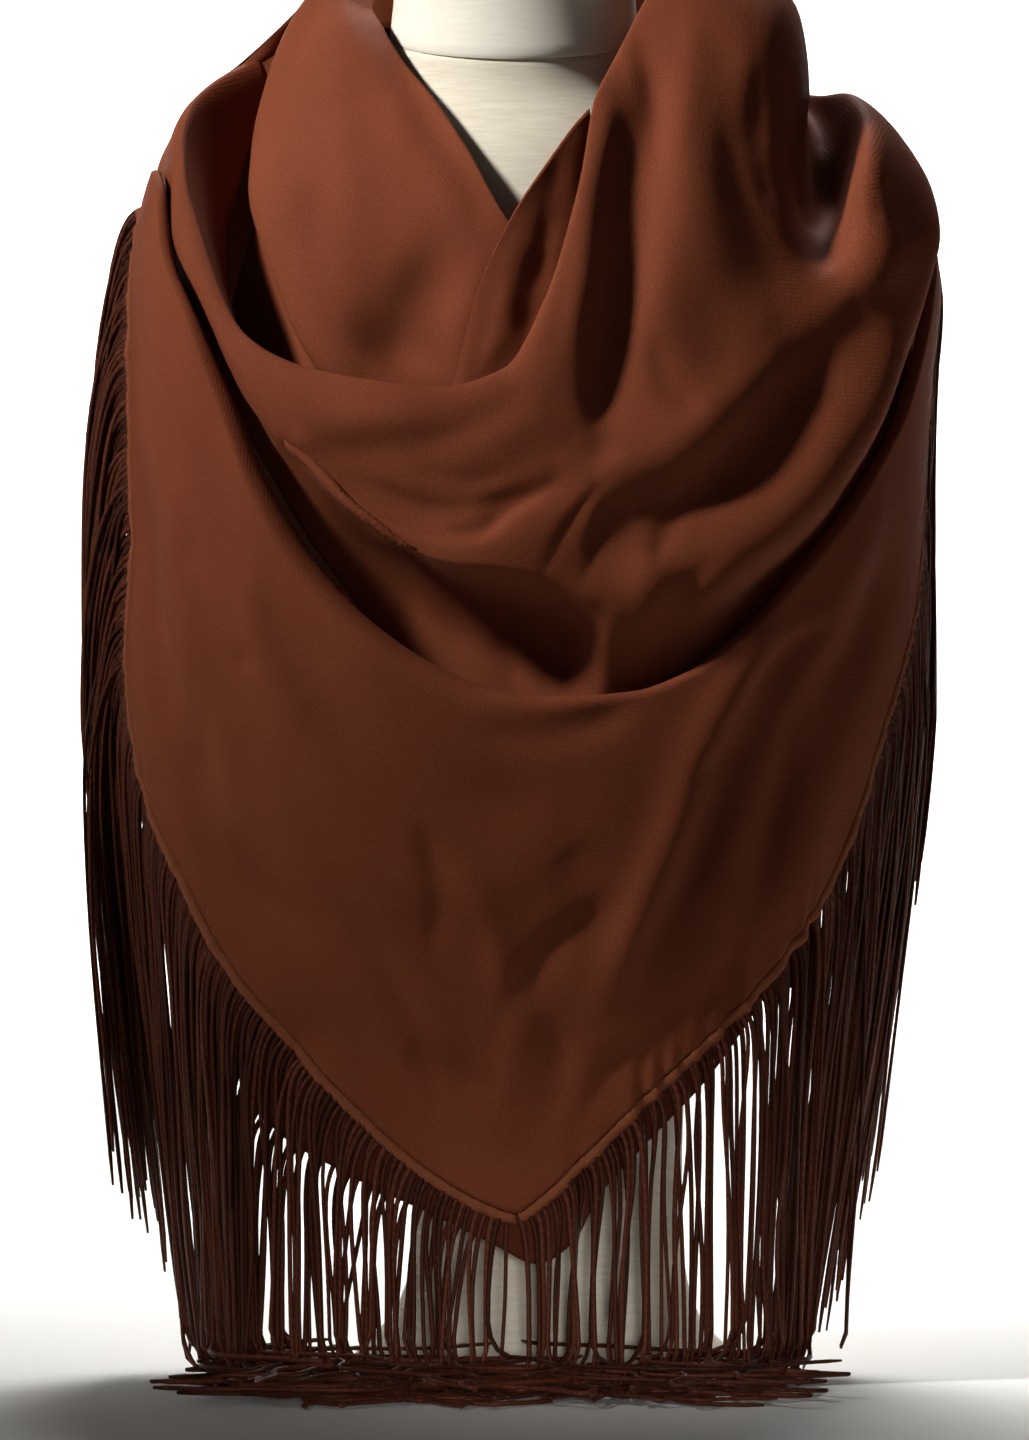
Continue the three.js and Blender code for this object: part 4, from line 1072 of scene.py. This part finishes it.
class SCARF_OT_fringe(bpy.types.Operator):
    """Make the fringes, strand by strand, in the clumps that they hang in"""

    bl_idname = "scarf.fringe"
    bl_label = "Fringe"

    def execute(self, context):
        sizes, colours = context.scene.scarf_sizes, context.scene.scarf_colours
        yarn = silky_yarn("twisted_viscose_yarn", colours.yarn, colours.yarn_shade)
        hems = hem_edges()
        for side, seed, spread, outward in (("left", 21, 0.8, 9), ("right", 22, 0.4, -5)):
            hem, left = hems[side], side == "left"
            angle, run = np.degrees(np.arctan2(np.abs(hem["p"][:, 0]), -hem["p"][:, 1])), hem["run"]
            # the left hem's run starts at its shoulder, the right one's at the point
            rows = (angle[::-1], run[::-1]) if left else (angle, run)
            split = float(np.interp(FRINGE_PARTS, *rows))
            low, high = ((split, run[-1]), (0, split)) if left else ((0, split), (split, run[-1]))
            front = fringe(f"fringe_front_{side}_yarn", hem, *low, sizes.gap, sizes, seed)
            flank = fringe(f"fringe_side_{side}_yarn", hem, *high, sizes.gap, sizes, seed + 10,
                           spread, 0.6, outward=outward)
            dress(front, yarn, "fringe_yarn", f"fringe_front_{side}")
            dress(flank, yarn, "fringe_yarn", f"fringe_side_{side}")
        hem = hems["back"]
        back = fringe("fringe_back_yarn", hem, 1, hem["run"][-1] - 1, sizes.gap * 0.9, sizes, 41, 0.1, 0.66)
        dress(back, yarn, "fringe_yarn", "fringe_back")
        hem = hem_frame(second_cloth())
        stop = float(np.interp(-20, hem["p"][:, 0], hem["run"]))
        inner = fringe("fringe_inner_yarn", hem, 2, stop, sizes.gap * 1.5, sizes, 51, root=-0.5)
        dress(inner, yarn, "fringe_yarn")
        return {"FINISHED"}


class SCARF_OT_hems(bpy.types.Operator):
    """Make the narrow rolled hems"""

    bl_idname = "scarf.hems"
    bl_label = "Hems"

    def execute(self, context):
        sizes = context.scene.scarf_sizes
        # the hems are the same satin in lighter tones: painted light, for the light that the roll catches
        satin = brown_satin("rolled_satin_hem_painted_light", "#9d5d42", "#87492f")
        for (side, hem), seed in zip(hem_edges().items(), (61, 62, 63)):
            dress(rolled_hem(f"hem_{side}_roll", hem, sizes, seed), satin, "satin_hem", f"hem_{side}")
        return {"FINISHED"}


class SCARF_OT_cloth(bpy.types.Operator):
    """Make the stretches of satin"""

    bl_idname = "scarf.cloth"
    bl_label = "Satin"

    def execute(self, context):
        sizes, colours = context.scene.scarf_sizes, context.scene.scarf_colours
        satin = brown_satin("piece_dyed_satin", colours.satin, colours.shade)
        # the second layer is the same satin in darker tones: painted shade, for the shadow it lies in behind the
        # front hem
        under = brown_satin("satin_second_layer_painted_shade", colours.shade, "#4a2318")
        made = (
            ("front_fall_satin", front_cloth(), sizes.cloth, satin, "satin", ("front_fall",)),
            ("wrap_satin", wrap_cloth(), sizes.cloth, satin, "satin", ("cowl", "back_fall")),
            ("collar_under_satin", under_cloth(), sizes.cloth, satin, "satin", ("collar_under",)),
            ("collar_over_satin", over_cloth(), sizes.cloth, satin, "satin", ("collar_over",)),
            ("second_layer_satin", second_cloth(), 1.0, under, "satin_shade", ("under_layer",)),
        )
        for name, grid, thick, finish, slot, nodes in made:
            piece = dress(cloth(name, grid, thick), finish, slot, *nodes)
            width, length, area = SHEETS[name]
            [bpy.data.objects[n] for n in TRIMS.get(name, ())]
        return {"FINISHED"}


class SCARF_OT_stage(bpy.types.Operator):
    """Make the floor, the lights and the camera"""

    bl_idname = "scarf.stage"
    bl_label = "Stage"

    def execute(self, context):
        colours = context.scene.scarf_colours
        bpy.ops.object.select_all(action="DESELECT")
        bpy.ops.mesh.primitive_plane_add(size=FLOOR_SIDE, location=(0, 0, 0))
        floor = context.object
        floor.name = "floor"
        bpy.ops.object.mode_set(mode="EDIT")
        bpy.ops.mesh.select_all(action="DESELECT")
        bpy.ops.object.mode_set(mode="OBJECT")
        for vertex in floor.data.vertices:
            vertex.select = vertex.co.y > FLOOR_SIDE / 2 - 1
        bpy.ops.object.mode_set(mode="EDIT")
        bpy.ops.mesh.select_mode(type="EDGE")
        bpy.ops.mesh.extrude_region_move(TRANSFORM_OT_translate={"value": (0, 0, BACKDROP_HIGH)})
        bpy.ops.mesh.select_all(action="DESELECT")
        bpy.ops.object.mode_set(mode="OBJECT")
        for edge in floor.data.edges:
            ends = [floor.data.vertices[k].co for k in edge.vertices]
            edge.select = all(abs(co.y - FLOOR_SIDE / 2) < 0.01 and abs(co.z) < 0.01 for co in ends)
        bpy.ops.object.mode_set(mode="EDIT")
        bpy.ops.mesh.bevel(offset=BACKDROP_BEND, segments=24, affect="EDGES")
        bpy.ops.object.mode_set(mode="OBJECT")
        bpy.ops.object.shade_smooth()
        floor.data.materials.append(matt_floor("matt_white_board", colours.floor))
        world = bpy.data.worlds.new("studio") if context.scene.world is None else context.scene.world
        context.scene.world = world
        world.use_nodes = True
        world.node_tree.nodes["Background"].inputs["Color"].default_value = (1.0, 0.99, 0.97, 1)
        world.node_tree.nodes["Background"].inputs["Strength"].default_value = WORLD
        for name, place, size, power, spread, aim in LIGHTS:
            data = bpy.data.lights.new(name, "AREA")
            data.shape, data.size, data.energy, data.spread = "DISK", size, power, math.radians(spread)
            light = bpy.data.objects.new(name, data)
            context.scene.collection.objects.link(light)
            light.location = Vector(place)
            light.rotation_euler = (Vector(aim) - Vector(place)).to_track_quat("-Z", "Y").to_euler()
        data = bpy.data.cameras.new("camera")
        camera = bpy.data.objects.new("camera", data)
        context.scene.collection.objects.link(camera)
        high, away = DOTS_HIGH * MM_PER_DOT / 1000, (EYE_AWAY - FRONT) / 1000
        data.sensor_width, data.sensor_fit = FILM, "AUTO"
        data.lens = FILM * away / high
        data.shift_x, data.shift_y = 0.0, (FRAME_MIDDLE - EYE_HIGH) / 1000 / high
        data.clip_start, data.clip_end = 0.05, 100
        camera.location = (AXIS[0], AXIS[1] - EYE_AWAY / 1000, EYE_HIGH / 1000)
        camera.rotation_euler = (math.radians(90), 0, 0)
        context.scene.camera = camera
        context.scene.view_settings.view_transform = "Standard"
        return {"FINISHED"}


class SCARF_PT_panel(bpy.types.Panel):
    """The scarf's tools"""

    bl_idname = "SCARF_PT_panel"
    bl_label = "Fringed scarf"
    bl_space_type = "VIEW_3D"
    bl_region_type = "UI"
    bl_category = "Scarf"

    def draw(self, context):
        for group in (context.scene.scarf_sizes, context.scene.scarf_colours):
            for key in group.__annotations__:
                self.layout.prop(group, key)
        for operator in OPERATORS:
            self.layout.operator(operator.bl_idname)


OPERATORS = (SCARF_OT_form, SCARF_OT_fringe, SCARF_OT_hems, SCARF_OT_cloth, SCARF_OT_stage)
CLASSES = (ScarfSizes, ScarfColours, *OPERATORS, SCARF_PT_panel)


def register():
    """Adds the scarf's tools."""
    for c in CLASSES:
        bpy.utils.register_class(c)
    bpy.types.Scene.scarf_sizes = bpy.props.PointerProperty(type=ScarfSizes)
    bpy.types.Scene.scarf_colours = bpy.props.PointerProperty(type=ScarfColours)


def unregister():
    """Takes the scarf's tools away."""
    del bpy.types.Scene.scarf_colours, bpy.types.Scene.scarf_sizes
    for c in reversed(CLASSES):
        bpy.utils.unregister_class(c)


def main():
    """Makes every piece."""
    register()
    bpy.ops.scarf.form()
    bpy.ops.scarf.fringe()
    bpy.ops.scarf.hems()
    bpy.ops.scarf.cloth()
    bpy.ops.scarf.stage()


if __name__ == "__main__":
    main()
